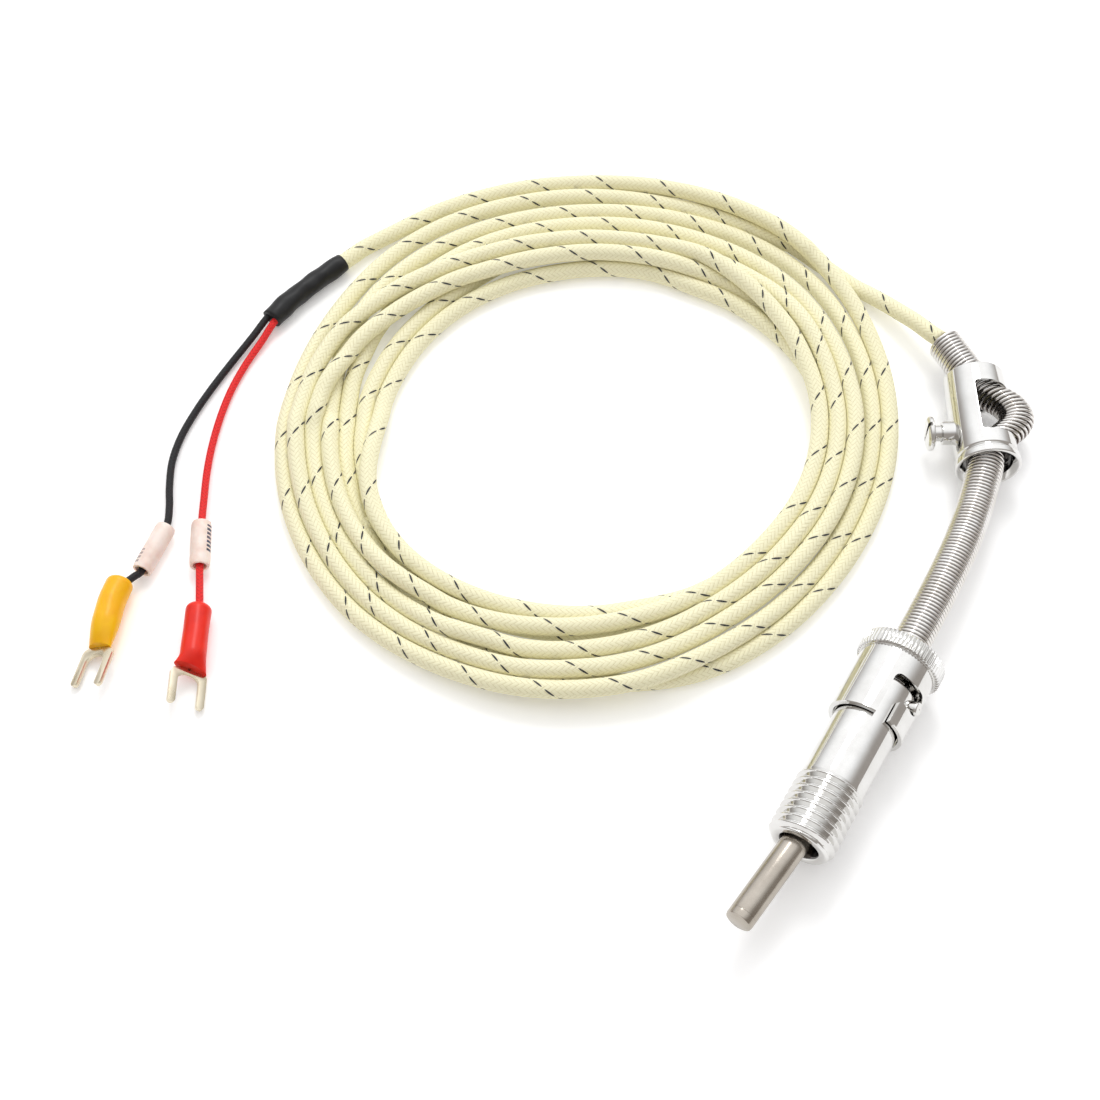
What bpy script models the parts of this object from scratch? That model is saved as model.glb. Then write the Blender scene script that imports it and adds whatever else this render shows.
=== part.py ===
"""Bayonet thermocouple: threaded adapter, slotted cap, sprung sheath, clamp, cable coil and fork leads.

The adapter's axis lies along +Y, tip towards -Y, and the whole object lies on the plane z = 0.
Lengths in the tables are millimetres; MM turns them into metres.
"""
import math

import bmesh
import bpy
from mathutils import Matrix, Vector, geometry

MM = 0.001
GAP = 0.3                      # clearance between touching pieces

# Where the adapter's thread end stands in the part's frame
AXIS_X, THREAD_Y, AXIS_Z = 8.278, -46.975, 7.7

# Adapter: stations are measured from its thread end along +Y
THREAD_R, THREAD_LENGTH, THREAD_PITCH, THREAD_DEPTH = 5.9, 12.0, 1.5, 0.85
ADAPTER_R, ADAPTER_LENGTH = 5.65, 33.4
BORE_R, COUNTERBORE_R, SHOULDER = 3.35, 4.9, 13.0
PIN_R, PIN_TIP_R, PIN_STATION, PIN_ANGLE = 1.2, 7.5, 31.2, 66.0
PIN_FIT = 0.15

# Cap: rim, slot and knurl stations; slot angles turn from +Z towards +X
CAP_R, CAP_BORE_R, CAP_RIM = 6.85, 5.95, 25.3
TAB_TOP, SLOT_TOP, SLOT_FROM, TAB_FROM, SLOT_TO = 29.7, 34.0, 9.0, 33.0, 80.0
CAP_CEILING, KNURL_FROM, CAP_TOP = 38.6, 38.2, 41.3
KNURL_R, KNURL_DEPTH, KNURL_TEETH = 7.7, 0.3, 48
SPRING_HOLE_R = 3.7

# Sheath: it leans in the adapter's bore, about a point on the adapter's axis
SHEATH_R, SHEATH_WALL, SHEATH_TIP, SHEATH_END = 2.4, 0.4, -23.6, 13.0
LEAN_STATION, LEAN_SIDE, LEAN_UP = 6.7, 6.0, 1.5
COLLAR_R, COLLAR_FROM, COLLAR_TO = 3.3, 8.6, 10.0
PLUG_THICKNESS = 1.2
INSULATOR_R, INSULATOR_FROM, INSULATOR_TO = 1.7, -19.5, 10.5
WIRE_R, WIRE_OFFSET, WIRE_BORE_R = 0.25, 0.7, 0.5
BEAD_R = 0.75

# Spring and the clamp on it
SPRING_R, SPRING_WIRE = 3.35, 0.7
CLAMP_X, CLAMP_Y, CLAMP_Z, CLAMP_TURN = -3.3, 85.6, 6.15, 31.6
CLAMP_R, CLAMP_BORE_R, CLAMP_LENGTH = 5.75, 5.15, 20.3
FLANGE_R, FLANGE_LENGTH, GROOVE_R, LIP_R, LIP_LENGTH = 6.1, 1.4, 5.3, 4.5, 2.6
WINDOW_FROM, WINDOW_TO, WINDOW_EDGE = 5.1, 16.2, -1.35
SCREW_AT, SCREW_R, SCREW_HEAD_R = 8.0, 1.5, 3.25
SCREW_TIP, SCREW_NECK, SCREW_END, BOSS_R, BOSS_END = 3.9, 9.2, 10.4, 2.2, 7.0

# Cable, leads and what is on them
CABLE_R, LEAD_R = 1.65, 0.7
COIL_X, COIL_Y, COIL_INNER_R, COIL_OUTER_R, COIL_TOP = -74.0, 60.8, 38.6, 58.4, 6.6
SHRINK_R, SHRINK_BORE_R = 2.05, 1.85
MARKER_R, MARKER_BORE_R = 1.85, 1.25
CRIMP_R, CRIMP_BORE_R, CRIMP_NECK_R = 2.5, 2.05, 1.35
BARREL_R, BARREL_BORE_R, BARREL_LENGTH = 1.6, 1.0, 4.8
FORK_WIDTH, FORK_SLOT, FORK_THICKNESS, FORK_LENGTH = 6.7, 4.0, 0.8, 13.2
# How far each fork is rolled about its sleeve, in degrees, and how far its barrel sits inside it
FORK_SEAT = {"yellow": (28, 0.5), "red": (-32, 0.9)}

# Routes: (x, y) from the adapter's thread end, z above the plane the object lies on
SPRING_ROUTE_IN = [(1.08, 16.95, 7.43), (1.41, 20.1, 7.35), (1.2, 25, 7.4), (0.5, 31, 7.6), (0.12, 37, 7.7),
                   (0.0, 42, 7.7), (-0.05, 50, 7.5), (-0.35, 60, 7.0), (-1.0, 69, 6.4), (-2.1, 77, 6.0)]
# In the clamp: (distance along it, distance towards its window)
SPRING_ROUTE_CLAMP = [(0.0, -0.6), (3.0, 0.0), (4.8, 0.7), (6.4, 1.7), (7.8, 3.0), (9.1, 4.1), (10.5, 4.55),
                      (11.9, 4.2), (13.3, 3.2), (14.7, 2.1), (16.4, 1.3), (19.0, 0.3), (21.5, -0.8), (25.0, -2.5),
                      (29.2, -4.5)]
LEAD_IN_ROUTE = [(-25.6, 109.4, 5.6), (-29.3, 111.1, 4.7), (-33.0, 112.6, 3.6), (-36.9, 114.0, 2.6),
                 (-41.0, 115.0, 1.9), (-45.2, 115.6, 1.7)]
TAIL_ROUTE = [(-132.6, 76.6, 1.75), (-133.7, 73.4, 1.85), (-134.6, 70.0, 2.05)]
SHRINK_ROUTE = [(-134.6, 70.0, 2.05), (-135.9, 66.0, 2.05), (-137.5, 60.0, 2.05), (-138.5, 55.0, 2.05),
                (-138.9, 51.2, 2.05)]
BLACK_ROUTE = [(-140.0, 46.0, 1.3), (-140.2, 39.0, 0.8), (-140.0, 32.0, 0.75), (-139.5, 26.0, 0.75),
               (-138.5, 20.0, 0.75), (-136.6, 14.5, 0.85), (-133.6, 9.5, 1.1), (-130.6, 5.4, 1.6)]
RED_ROUTE = [(-137.9, 46.0, 1.2), (-137.6, 40.0, 0.8), (-136.6, 34.0, 0.75), (-134.9, 28.0, 0.75),
             (-132.4, 21.5, 0.75), (-129.6, 15.8, 0.9), (-126.4, 10.4, 1.4)]
BLACK_MARKER = [(-128.5, 1.6, 1.9), (-126.9, -8.2, 1.9)]
RED_MARKER = [(-123.4, 5.5, 1.9), (-118.4, -2.2, 1.9)]
YELLOW_CRIMP = [(-128.5, -11.8, 2.6), (-127.4, -16.1, 2.65), (-125.6, -20.5, 2.8), (-124.2, -24.9, 2.95)]
RED_CRIMP = [(-113.4, -9.2, 2.6), (-111.5, -12.7, 2.7), (-109.4, -16.4, 2.9), (-107.2, -20.2, 3.1)]

COLOURS = {
    "chrome": ((0.78, 0.79, 0.80), 0.12, 1.0),
    "spring_steel": ((0.55, 0.55, 0.54), 0.28, 1.0),
    "stainless": ((0.62, 0.60, 0.57), 0.32, 1.0),
    "ceramic": ((0.86, 0.84, 0.78), 0.7, 0.0),
    "thermo_positive": ((0.58, 0.56, 0.52), 0.35, 1.0),
    "thermo_negative": ((0.50, 0.50, 0.52), 0.35, 1.0),
    "cable_braid": ((0.84, 0.80, 0.52), 0.8, 0.0),
    "shrink_black": ((0.02, 0.02, 0.022), 0.55, 0.0),
    "lead_black": ((0.015, 0.015, 0.018), 0.5, 0.0),
    "lead_red": ((0.55, 0.01, 0.015), 0.45, 0.0),
    "marker": ((0.88, 0.74, 0.68), 0.45, 0.0),
    "crimp_yellow": ((0.86, 0.48, 0.01), 0.3, 0.0),
    "crimp_red": ((0.80, 0.03, 0.015), 0.3, 0.0),
    "tinned": ((0.80, 0.74, 0.62), 0.25, 1.0),
}


def clear_scene():
    for item in list(bpy.data.objects):
        bpy.data.objects.remove(item, do_unlink=True)


def material(name):
    colour, roughness, metallic = COLOURS[name]
    made = bpy.data.materials.get(name) or bpy.data.materials.new(name)
    made.use_nodes = True
    shader = made.node_tree.nodes["Principled BSDF"]
    shader.inputs["Base Color"].default_value = (*colour, 1.0)
    shader.inputs["Roughness"].default_value = roughness
    shader.inputs["Metallic"].default_value = metallic
    return made


def place(point):
    """A route's point, in millimetres from the thread end, as a point of the part's frame in metres."""
    x, y, z = point
    return Vector((x + AXIS_X, y + THREAD_Y, z)) * MM


def frame_at(origin, direction, up=(0, 0, 1)):
    """A matrix at origin whose local Z runs along direction and whose local Y leans towards up."""
    z_axis = Vector(direction).normalized()
    x_axis = Vector(up).cross(z_axis).normalized()
    y_axis = z_axis.cross(x_axis)
    turned = Matrix((x_axis, y_axis, z_axis)).transposed().to_4x4()
    return Matrix.Translation(origin) @ turned


def add_mesh(name, form, finish, matrix=None, smooth_angle=35.0):
    bmesh.ops.recalc_face_normals(form, faces=form.faces)
    mesh = bpy.data.meshes.new(name)
    form.to_mesh(mesh)
    form.free()
    mesh.shade_smooth()
    mesh.set_sharp_from_angle(angle=math.radians(smooth_angle))
    made = bpy.data.objects.new(name, mesh)
    bpy.context.scene.collection.objects.link(made)
    made.data.materials.append(material(finish))
    if matrix is not None:
        made.matrix_world = matrix
    return made


def ring_faces(form, first, second):
    for index in range(len(first)):
        after = (index + 1) % len(first)
        form.faces.new((first[index], first[after], second[after], second[index]))


def turned_form(outline, segments, teeth_between=None):
    """Turn a closed outline of (radius, station) about local Z. Stations in teeth_between get a knurl."""
    form = bmesh.new()
    rings = []
    for radius, station in outline:
        if radius == 0:
            rings.append([form.verts.new((0, 0, station * MM))])
            continue
        ring = []
        for step in range(segments):
            angle = 2 * math.pi * step / segments
            toothed = teeth_between and teeth_between[0] <= station <= teeth_between[1] and radius > CAP_R
            reach = radius - (KNURL_DEPTH if toothed and step % 2 else 0)
            ring.append(form.verts.new((reach * MM * math.cos(angle), reach * MM * math.sin(angle), station * MM)))
        rings.append(ring)
    for index, ring in enumerate(rings):
        following = rings[(index + 1) % len(rings)]
        if len(ring) == 1 and len(following) == 1:
            continue
        if len(ring) == 1 or len(following) == 1:
            centre, rim = (ring, following) if len(ring) == 1 else (following, ring)
            for step in range(segments):
                form.faces.new((centre[0], rim[step], rim[(step + 1) % segments]))
        else:
            ring_faces(form, ring, following)
    return form


def smooth_route(points, spacing):
    """Points along a Catmull-Rom curve through the given points, an equal distance apart."""
    ends = [2 * points[0] - points[1], *points, 2 * points[-1] - points[-2]]
    fine = [points[0]]
    for index in range(1, len(ends) - 2):
        before, start, end, after = ends[index - 1:index + 3]
        for step in range(1, 25):
            t = step / 24
            fine.append(0.5 * (2 * start + (end - before) * t + (2 * before - 5 * start + 4 * end - after) * t ** 2
                               + (3 * start - before - 3 * end + after) * t ** 3))
    travelled = [0.0]
    for first, second in zip(fine, fine[1:]):
        travelled.append(travelled[-1] + (second - first).length)
    count = max(2, round(travelled[-1] / (spacing * MM)))
    route, index = [], 0
    for step in range(count + 1):
        wanted = travelled[-1] * step / count
        while index < len(fine) - 2 and travelled[index + 1] < wanted:
            index += 1
        part = (wanted - travelled[index]) / (travelled[index + 1] - travelled[index])
        route.append(fine[index].lerp(fine[index + 1], part))
    return route


def swept_tube(name, route, outer, inner, finish, sides=12):
    """A hollow tube along a route; outer and inner are radii, or functions of the share of its length."""
    form = bmesh.new()
    side = Vector((0, 0, 1)).cross(route[1] - route[0]).normalized()
    shells = ([], [])
    for index, point in enumerate(route):
        ahead = (route[min(index + 1, len(route) - 1)] - route[max(index - 1, 0)]).normalized()
        side = (side - ahead * side.dot(ahead)).normalized()
        up = ahead.cross(side)
        share = index / (len(route) - 1)
        for shell, radius in zip(shells, (outer, inner)):
            reach = (radius(share) if callable(radius) else radius) * MM
            ring = []
            for step in range(sides):
                angle = 2 * math.pi * step / sides
                ring.append(form.verts.new(point + reach * (math.cos(angle) * side + math.sin(angle) * up)))
            shell.append(ring)
    for shell in shells:
        for first, second in zip(shell, shell[1:]):
            ring_faces(form, first, second)
    ring_faces(form, shells[0][0], shells[1][0])
    ring_faces(form, shells[0][-1], shells[1][-1])
    return add_mesh(name, form, finish)


def cord(name, route, radius, finish):
    """A solid round tube along a route."""
    curve = bpy.data.curves.new(name, "CURVE")
    curve.dimensions = "3D"
    curve.bevel_depth = radius * MM
    curve.bevel_resolution = 2
    curve.use_fill_caps = True
    spline = curve.splines.new("POLY")
    spline.points.add(len(route) - 1)
    for point, place_at in zip(spline.points, route):
        point.co = (*place_at, 1.0)
    curve.materials.append(material(finish))
    made = bpy.data.objects.new(name, curve)
    bpy.context.scene.collection.objects.link(made)
    return made


def cutter(form, matrix):
    """A closed form that only cuts: it isn't rendered."""
    made = add_mesh("cutter", form, "chrome", matrix)
    made.hide_render = True
    made.display_type = "WIRE"
    return made


def combine(piece, other, operation):
    step = piece.modifiers.new(operation.lower(), "BOOLEAN")
    step.operation = operation
    step.solver = "EXACT"
    step.object = other


def rod_form(radius, start, end, segments):
    return turned_form([(0, start), (radius, start), (radius, end), (0, end)], segments)


def adapter_axis():
    return frame_at(Vector((AXIS_X, THREAD_Y, AXIS_Z)) * MM, (0, 1, 0))


def around_adapter(angle, station):
    """A frame on the adapter's axis whose local Z points outwards at an angle from +Z towards +X."""
    turn = math.radians(angle)
    outwards = (math.sin(turn), 0, math.cos(turn))
    return frame_at(Vector((AXIS_X, THREAD_Y + station, AXIS_Z)) * MM, outwards, (0, 1, 0))


def make_adapter():
    outline = [(BORE_R, 0), (THREAD_R - THREAD_DEPTH, 0)]
    crest = THREAD_PITCH / 2
    while crest < THREAD_LENGTH - 0.2:
        outline.append((THREAD_R, crest + 0.1))
        outline.append((THREAD_R, crest + 0.3))
        outline.append((THREAD_R - THREAD_DEPTH, crest + THREAD_PITCH / 2 + 0.2))
        crest += THREAD_PITCH
    outline += [(ADAPTER_R, THREAD_LENGTH + 0.4), (ADAPTER_R, ADAPTER_LENGTH - 0.4),
                (ADAPTER_R - 0.4, ADAPTER_LENGTH), (COUNTERBORE_R, ADAPTER_LENGTH), (COUNTERBORE_R, SHOULDER),
                (BORE_R, SHOULDER)]
    adapter = add_mesh("bayonet_adapter", turned_form(outline, 40), "chrome", adapter_axis())
    for name, angle in (("adapter_pin_right", PIN_ANGLE), ("adapter_pin_left", PIN_ANGLE + 180)):
        across = around_adapter(angle, PIN_STATION)
        hole = cutter(rod_form(PIN_R + PIN_FIT, COUNTERBORE_R - 1.2, ADAPTER_R + 1.2, 16), across)
        combine(adapter, hole, "DIFFERENCE")
        tip = [(0, COUNTERBORE_R), (PIN_R, COUNTERBORE_R), (PIN_R, PIN_TIP_R - 0.3), (PIN_R - 0.3, PIN_TIP_R),
               (0, PIN_TIP_R)]
        add_mesh(name, turned_form(tip, 16), "chrome", across)


def slot_form():
    """An L-shaped slot as a sector: up from the rim, then round, with a rounded end."""
    end_radius = (SLOT_TOP - TAB_TOP) / 2
    end_turn = math.degrees(end_radius / CAP_R)
    outline = [(SLOT_FROM, CAP_RIM - 1), (SLOT_FROM, SLOT_TOP)]
    steps = 8
    for step in range(1, steps):
        outline.append((SLOT_FROM + (SLOT_TO - end_turn - SLOT_FROM) * step / steps, SLOT_TOP))
    for step in range(9):
        turn = math.pi * step / 8
        outline.append((SLOT_TO - end_turn + end_turn * math.sin(turn),
                        (SLOT_TOP + TAB_TOP) / 2 + end_radius * math.cos(turn)))
    for step in range(1, 5):
        outline.append((SLOT_TO - end_turn + (TAB_FROM - SLOT_TO + end_turn) * step / 5, TAB_TOP))
    outline += [(TAB_FROM, TAB_TOP), (TAB_FROM, CAP_RIM - 1)]
    form = bmesh.new()
    shells = []
    for radius in (CAP_BORE_R - 1, CAP_R + 2.5):
        ring = []
        for angle, station in outline:
            turn = math.radians(angle)
            ring.append(form.verts.new((radius * MM * math.sin(turn), station * MM, radius * MM * math.cos(turn))))
        shells.append(ring)
    ring_faces(form, *shells)
    flat = [Vector((angle * 0.12, station, 0)) for angle, station in outline]
    for corners in geometry.tessellate_polygon([flat]):
        for ring in shells:
            form.faces.new([ring[index] for index in corners])
    return form


def make_cap():
    outline = [(CAP_BORE_R, CAP_RIM), (CAP_R, CAP_RIM), (CAP_R, KNURL_FROM), (KNURL_R, KNURL_FROM + 0.2),
               (KNURL_R, CAP_TOP - 0.3), (KNURL_R - 0.5, CAP_TOP), (SPRING_HOLE_R, CAP_TOP),
               (SPRING_HOLE_R, CAP_CEILING), (CAP_BORE_R, CAP_CEILING)]
    form = turned_form(outline, 2 * KNURL_TEETH, (KNURL_FROM, CAP_TOP - 0.1))
    cap = add_mesh("bayonet_cap", form, "chrome", adapter_axis())
    centre = Matrix.Translation(Vector((AXIS_X, THREAD_Y, AXIS_Z)) * MM)
    for turn in (0, math.pi):
        combine(cap, cutter(slot_form(), centre @ Matrix.Rotation(turn, 4, "Y")), "DIFFERENCE")


def sheath_axis():
    """The sheath's frame: local Z runs from its tip to its rear, from the point it leans about."""
    side, up = math.radians(LEAN_SIDE), math.radians(LEAN_UP)
    origin = Vector((AXIS_X, THREAD_Y + LEAN_STATION, AXIS_Z)) * MM
    return frame_at(origin, (math.sin(side) * math.cos(up), math.cos(side) * math.cos(up), -math.sin(up)))


def make_sheath():
    axis = sheath_axis()
    inside = SHEATH_R - SHEATH_WALL
    start = SHEATH_TIP + PLUG_THICKNESS + GAP
    tube = [(inside, start), (SHEATH_R, start), (SHEATH_R, SHEATH_END), (inside, SHEATH_END)]
    add_mesh("probe_sheath", turned_form(tube, 28), "stainless", axis)
    plug = [(0, SHEATH_TIP), (SHEATH_R - 0.45, SHEATH_TIP), (SHEATH_R - 0.12, SHEATH_TIP + 0.14),
            (SHEATH_R, SHEATH_TIP + 0.5), (SHEATH_R, SHEATH_TIP + PLUG_THICKNESS), (0, SHEATH_TIP + PLUG_THICKNESS)]
    add_mesh("sheath_tip_plug", turned_form(plug, 28), "stainless", axis)
    bore = SHEATH_R + 0.1
    collar = [(bore, COLLAR_FROM), (COLLAR_R, COLLAR_FROM), (COLLAR_R, COLLAR_TO), (bore, COLLAR_TO)]
    add_mesh("spring_stop_collar", turned_form(collar, 28), "stainless", axis)
    insulator = add_mesh("ceramic_insulator", rod_form(INSULATOR_R, INSULATOR_FROM, INSULATOR_TO, 20), "ceramic", axis)
    for name, side in (("thermoelement_positive", 1), ("thermoelement_negative", -1)):
        beside = axis @ Matrix.Translation((side * WIRE_OFFSET * MM, 0, 0))
        bore_cutter = cutter(rod_form(WIRE_BORE_R, INSULATOR_FROM - 1, INSULATOR_TO + 1, 10), beside)
        combine(insulator, bore_cutter, "DIFFERENCE")
        tip = INSULATOR_FROM - 0.6
        add_mesh(name, rod_form(WIRE_R, tip, INSULATOR_TO + 1.2, 8), name.replace("element", ""), beside)
    bead = bmesh.new()
    bmesh.ops.create_uvsphere(bead, u_segments=12, v_segments=8, radius=BEAD_R * MM)
    centre = INSULATOR_FROM - 0.6 - 0.1 - BEAD_R
    add_mesh("measuring_junction", bead, "thermo_positive", axis @ Matrix.Translation((0, 0, centre * MM)))


def clamp_point(along, towards_window, height=CLAMP_Z):
    turn = math.radians(CLAMP_TURN)
    return (CLAMP_X - along * math.sin(turn) + towards_window * math.cos(turn),
            CLAMP_Y + along * math.cos(turn) + towards_window * math.sin(turn), height)


def clamp_direction(along, towards_window):
    here, there = clamp_point(0, 0), clamp_point(along, towards_window)
    return Vector(there) - Vector(here)


def spring_route(spacing):
    points = [place(point) for point in SPRING_ROUTE_IN]
    points += [place(clamp_point(*point)) for point in SPRING_ROUTE_CLAMP]
    return smooth_route(points, spacing)


def make_spring():
    route = spring_route(1.9)
    swept_tube("armour_spring", route, SPRING_R, SPRING_R - SPRING_WIRE, "spring_steel")
    cord("cable_in_spring", smooth_route(route[3:], 2.4), CABLE_R, "cable_braid")


def make_clamp():
    axis = frame_at(place(clamp_point(0, 0)), clamp_direction(1, 0))
    groove = FLANGE_LENGTH + 0.1
    outline = [(LIP_R, 1.0), (FLANGE_R - 0.6, 0), (FLANGE_R - 0.2, 0), (FLANGE_R, 0.2), (FLANGE_R, FLANGE_LENGTH - 0.2),
               (FLANGE_R - 0.2, FLANGE_LENGTH), (GROOVE_R, groove), (GROOVE_R, groove + 0.55), (CLAMP_R, groove + 0.85),
               (CLAMP_R, CLAMP_LENGTH - 0.2), (CLAMP_R - 0.2, CLAMP_LENGTH), (CLAMP_BORE_R, CLAMP_LENGTH),
               (CLAMP_BORE_R, LIP_LENGTH + 0.5), (LIP_R, LIP_LENGTH)]
    sleeve = add_mesh("clamp_sleeve", turned_form(outline, 40), "chrome", axis)
    across = frame_at(place(clamp_point(SCREW_AT, 0)), clamp_direction(0, -1))
    boss = add_mesh("cutter", rod_form(BOSS_R, CLAMP_BORE_R + 0.1, BOSS_END, 24), "chrome", across)
    boss.hide_render = True
    boss.display_type = "WIRE"
    combine(sleeve, boss, "UNION")
    combine(sleeve, cutter(rod_form(SCREW_R + 0.08, 3.2, BOSS_END + 1, 20), across), "DIFFERENCE")
    window = bmesh.new()
    bmesh.ops.create_cube(window, size=1.0)
    size = (CLAMP_R + 4, 3 * CLAMP_R, WINDOW_TO - WINDOW_FROM)
    bmesh.ops.scale(window, vec=Vector(size) * MM, verts=window.verts)
    middle = place(clamp_point((WINDOW_FROM + WINDOW_TO) / 2, size[0] / 2 + WINDOW_EDGE))
    towards = frame_at(middle, clamp_direction(1, 0))
    combine(sleeve, cutter(window, towards), "DIFFERENCE")
    head = [(0, SCREW_TIP), (SCREW_R - 0.4, SCREW_TIP), (SCREW_R, SCREW_TIP + 0.4), (SCREW_R, SCREW_NECK),
            (SCREW_HEAD_R - 0.25, SCREW_NECK), (SCREW_HEAD_R, SCREW_NECK + 0.25), (SCREW_HEAD_R, SCREW_END - 0.35),
            (SCREW_HEAD_R - 0.5, SCREW_END), (0, SCREW_END)]
    screw = add_mesh("clamp_screw", turned_form(head, 24), "chrome", across)
    slot = bmesh.new()
    bmesh.ops.create_cube(slot, size=1.0)
    bmesh.ops.scale(slot, vec=Vector((0.8, 9, 1.4)) * MM, verts=slot.verts)
    combine(screw, cutter(slot, across @ Matrix.Translation((0, 0, SCREW_END * MM))), "DIFFERENCE")


def make_cable():
    end = place(clamp_point(*SPRING_ROUTE_CLAMP[-1]))
    start = end + (end - spring_route(1.9)[-2]).normalized() * 2 * GAP * MM
    cord("cable_lead_in", smooth_route([start] + [place(point) for point in LEAD_IN_ROUTE], 5.0), CABLE_R,
         "cable_braid")
    height = COIL_TOP
    outline = [(COIL_INNER_R + 1.2, 0), (COIL_OUTER_R - 1.2, 0), (COIL_OUTER_R, 1.2), (COIL_OUTER_R, height - 2.4),
               (COIL_OUTER_R - 3, height), (COIL_INNER_R + 3, height), (COIL_INNER_R, height - 2.4),
               (COIL_INNER_R, 1.2)]
    add_mesh("cable_coil", turned_form(outline, 56), "cable_braid", frame_at(place((COIL_X, COIL_Y, 0)), (0, 0, 1),
                                                                             (0, 1, 0)))
    shrink = smooth_route([place(point) for point in SHRINK_ROUTE], 2.5)
    swept_tube("heat_shrink_sleeve", shrink, SHRINK_R, SHRINK_BORE_R, "shrink_black")
    tail = [place(point) for point in TAIL_ROUTE[:-1]] + shrink[:4]
    cord("cable_tail", smooth_route(tail, 3.0), CABLE_R, "cable_braid")
    return shrink


def make_leads(shrink):
    ends = {"black": -1, "red": 1}
    rest = {"black": (BLACK_ROUTE, BLACK_MARKER, YELLOW_CRIMP), "red": (RED_ROUTE, RED_MARKER, RED_CRIMP)}
    for colour, side in ends.items():
        route, marker, crimp = rest[colour]
        inside = [shrink[-3] + Vector((side * 0.88 * MM, 0, 0)), shrink[-1] + Vector((side * 0.88 * MM, 0, 0))]
        sleeve = smooth_route([place(point) for point in crimp], 1.6)
        along = [place(point) for point in marker]
        points = inside + [place(point) for point in route] + [along[0], along[0].lerp(along[1], 0.5), along[1]]
        points += [along[1].lerp(sleeve[0], 0.5) + Vector((0, 0, 0.1 * MM)), sleeve[0], sleeve[1]]
        cord("lead_" + colour, smooth_route(points, 3.4), LEAD_R, "lead_" + colour)
        swept_tube("marker_sleeve_" + colour, along, MARKER_R, MARKER_BORE_R, "marker", 16)
        finish = "crimp_yellow" if colour == "black" else "crimp_red"
        swept_tube("terminal_sleeve_" + finish[6:], sleeve, crimp_outer, crimp_inner, finish, 14)
        make_fork("fork_terminal_" + finish[6:], sleeve, *FORK_SEAT[finish[6:]])


def crimp_outer(share):
    return CRIMP_R - 0.35 * max(0, 1 - share / 0.08) - 0.15 * math.sin(math.pi * share)


def crimp_inner(share):
    return CRIMP_NECK_R + (CRIMP_BORE_R - CRIMP_NECK_R) * min(1, share / 0.35)


def make_fork(name, sleeve, roll, inset):
    """A rolled barrel inside the sleeve's end and a flat two-pronged tongue beyond it."""
    heading = (sleeve[-1] - sleeve[-3]).normalized()
    start = sleeve[-1] - heading * (BARREL_LENGTH + inset) * MM
    axis = frame_at(start, heading) @ Matrix.Rotation(math.radians(roll), 4, "Z")
    tube = [(BARREL_BORE_R, 0), (BARREL_R, 0), (BARREL_R, BARREL_LENGTH), (BARREL_BORE_R, BARREL_LENGTH)]
    fork = add_mesh(name, turned_form(tube, 20), "tinned", axis)
    half, prong = FORK_WIDTH / 2, FORK_SLOT / 2
    neck, crotch = BARREL_LENGTH + inset + 0.15, FORK_LENGTH - 5.2
    outline = [(1.2, BARREL_LENGTH - 1.5), (1.2, neck), (half, neck + 1.1), (half, FORK_LENGTH - 0.4),
               (half - 0.5, FORK_LENGTH), (prong + 0.4, FORK_LENGTH), (prong, FORK_LENGTH - 0.5)]
    for step in range(5):
        turn = math.pi / 2 * step / 4
        outline.append((prong * math.cos(turn), crotch + 0.9 - 0.9 * math.sin(turn)))
    outline += [(-x, z) for x, z in reversed(outline[:-1])]
    form = bmesh.new()
    low, high = -BARREL_R + 0.05, -BARREL_R + 0.05 + FORK_THICKNESS
    corners = [form.verts.new((x * MM, low * MM, z * MM)) for x, z in outline]
    face = form.faces.new(corners)
    grown = bmesh.ops.extrude_face_region(form, geom=[face])
    verts = [item for item in grown["geom"] if isinstance(item, bmesh.types.BMVert)]
    bmesh.ops.translate(form, vec=(0, (high - low) * MM, 0), verts=verts)
    tongue = add_mesh("cutter", form, "tinned", axis)
    tongue.hide_render = True
    tongue.display_type = "WIRE"
    combine(fork, tongue, "UNION")


def main():
    clear_scene()
    make_adapter()
    make_cap()
    make_sheath()
    make_spring()
    make_clamp()
    make_leads(make_cable())


main()
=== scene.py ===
"""Looks for the bayonet thermocouple: chrome fittings, sprung sheath, braided cable coil and fork leads."""
import math
from functools import partial

import bmesh
import bpy
import numpy as np
from mathutils import Matrix, Vector, geometry


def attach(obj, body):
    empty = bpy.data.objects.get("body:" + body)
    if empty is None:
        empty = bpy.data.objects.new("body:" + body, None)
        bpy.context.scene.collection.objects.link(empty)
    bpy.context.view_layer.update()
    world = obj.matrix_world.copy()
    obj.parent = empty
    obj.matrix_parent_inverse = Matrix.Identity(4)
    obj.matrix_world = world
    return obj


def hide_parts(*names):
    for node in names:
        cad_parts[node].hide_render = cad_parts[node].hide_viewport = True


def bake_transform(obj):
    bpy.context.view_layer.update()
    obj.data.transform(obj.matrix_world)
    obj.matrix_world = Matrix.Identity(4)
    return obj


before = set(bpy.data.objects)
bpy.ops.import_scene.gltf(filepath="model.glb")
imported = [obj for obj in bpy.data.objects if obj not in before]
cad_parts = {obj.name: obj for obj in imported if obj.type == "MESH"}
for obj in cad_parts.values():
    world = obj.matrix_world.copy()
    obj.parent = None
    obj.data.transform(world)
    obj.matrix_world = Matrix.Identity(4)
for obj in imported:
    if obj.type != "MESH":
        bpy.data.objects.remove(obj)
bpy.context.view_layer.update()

MM = 0.001
ROOT = "cable_assembly"

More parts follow.
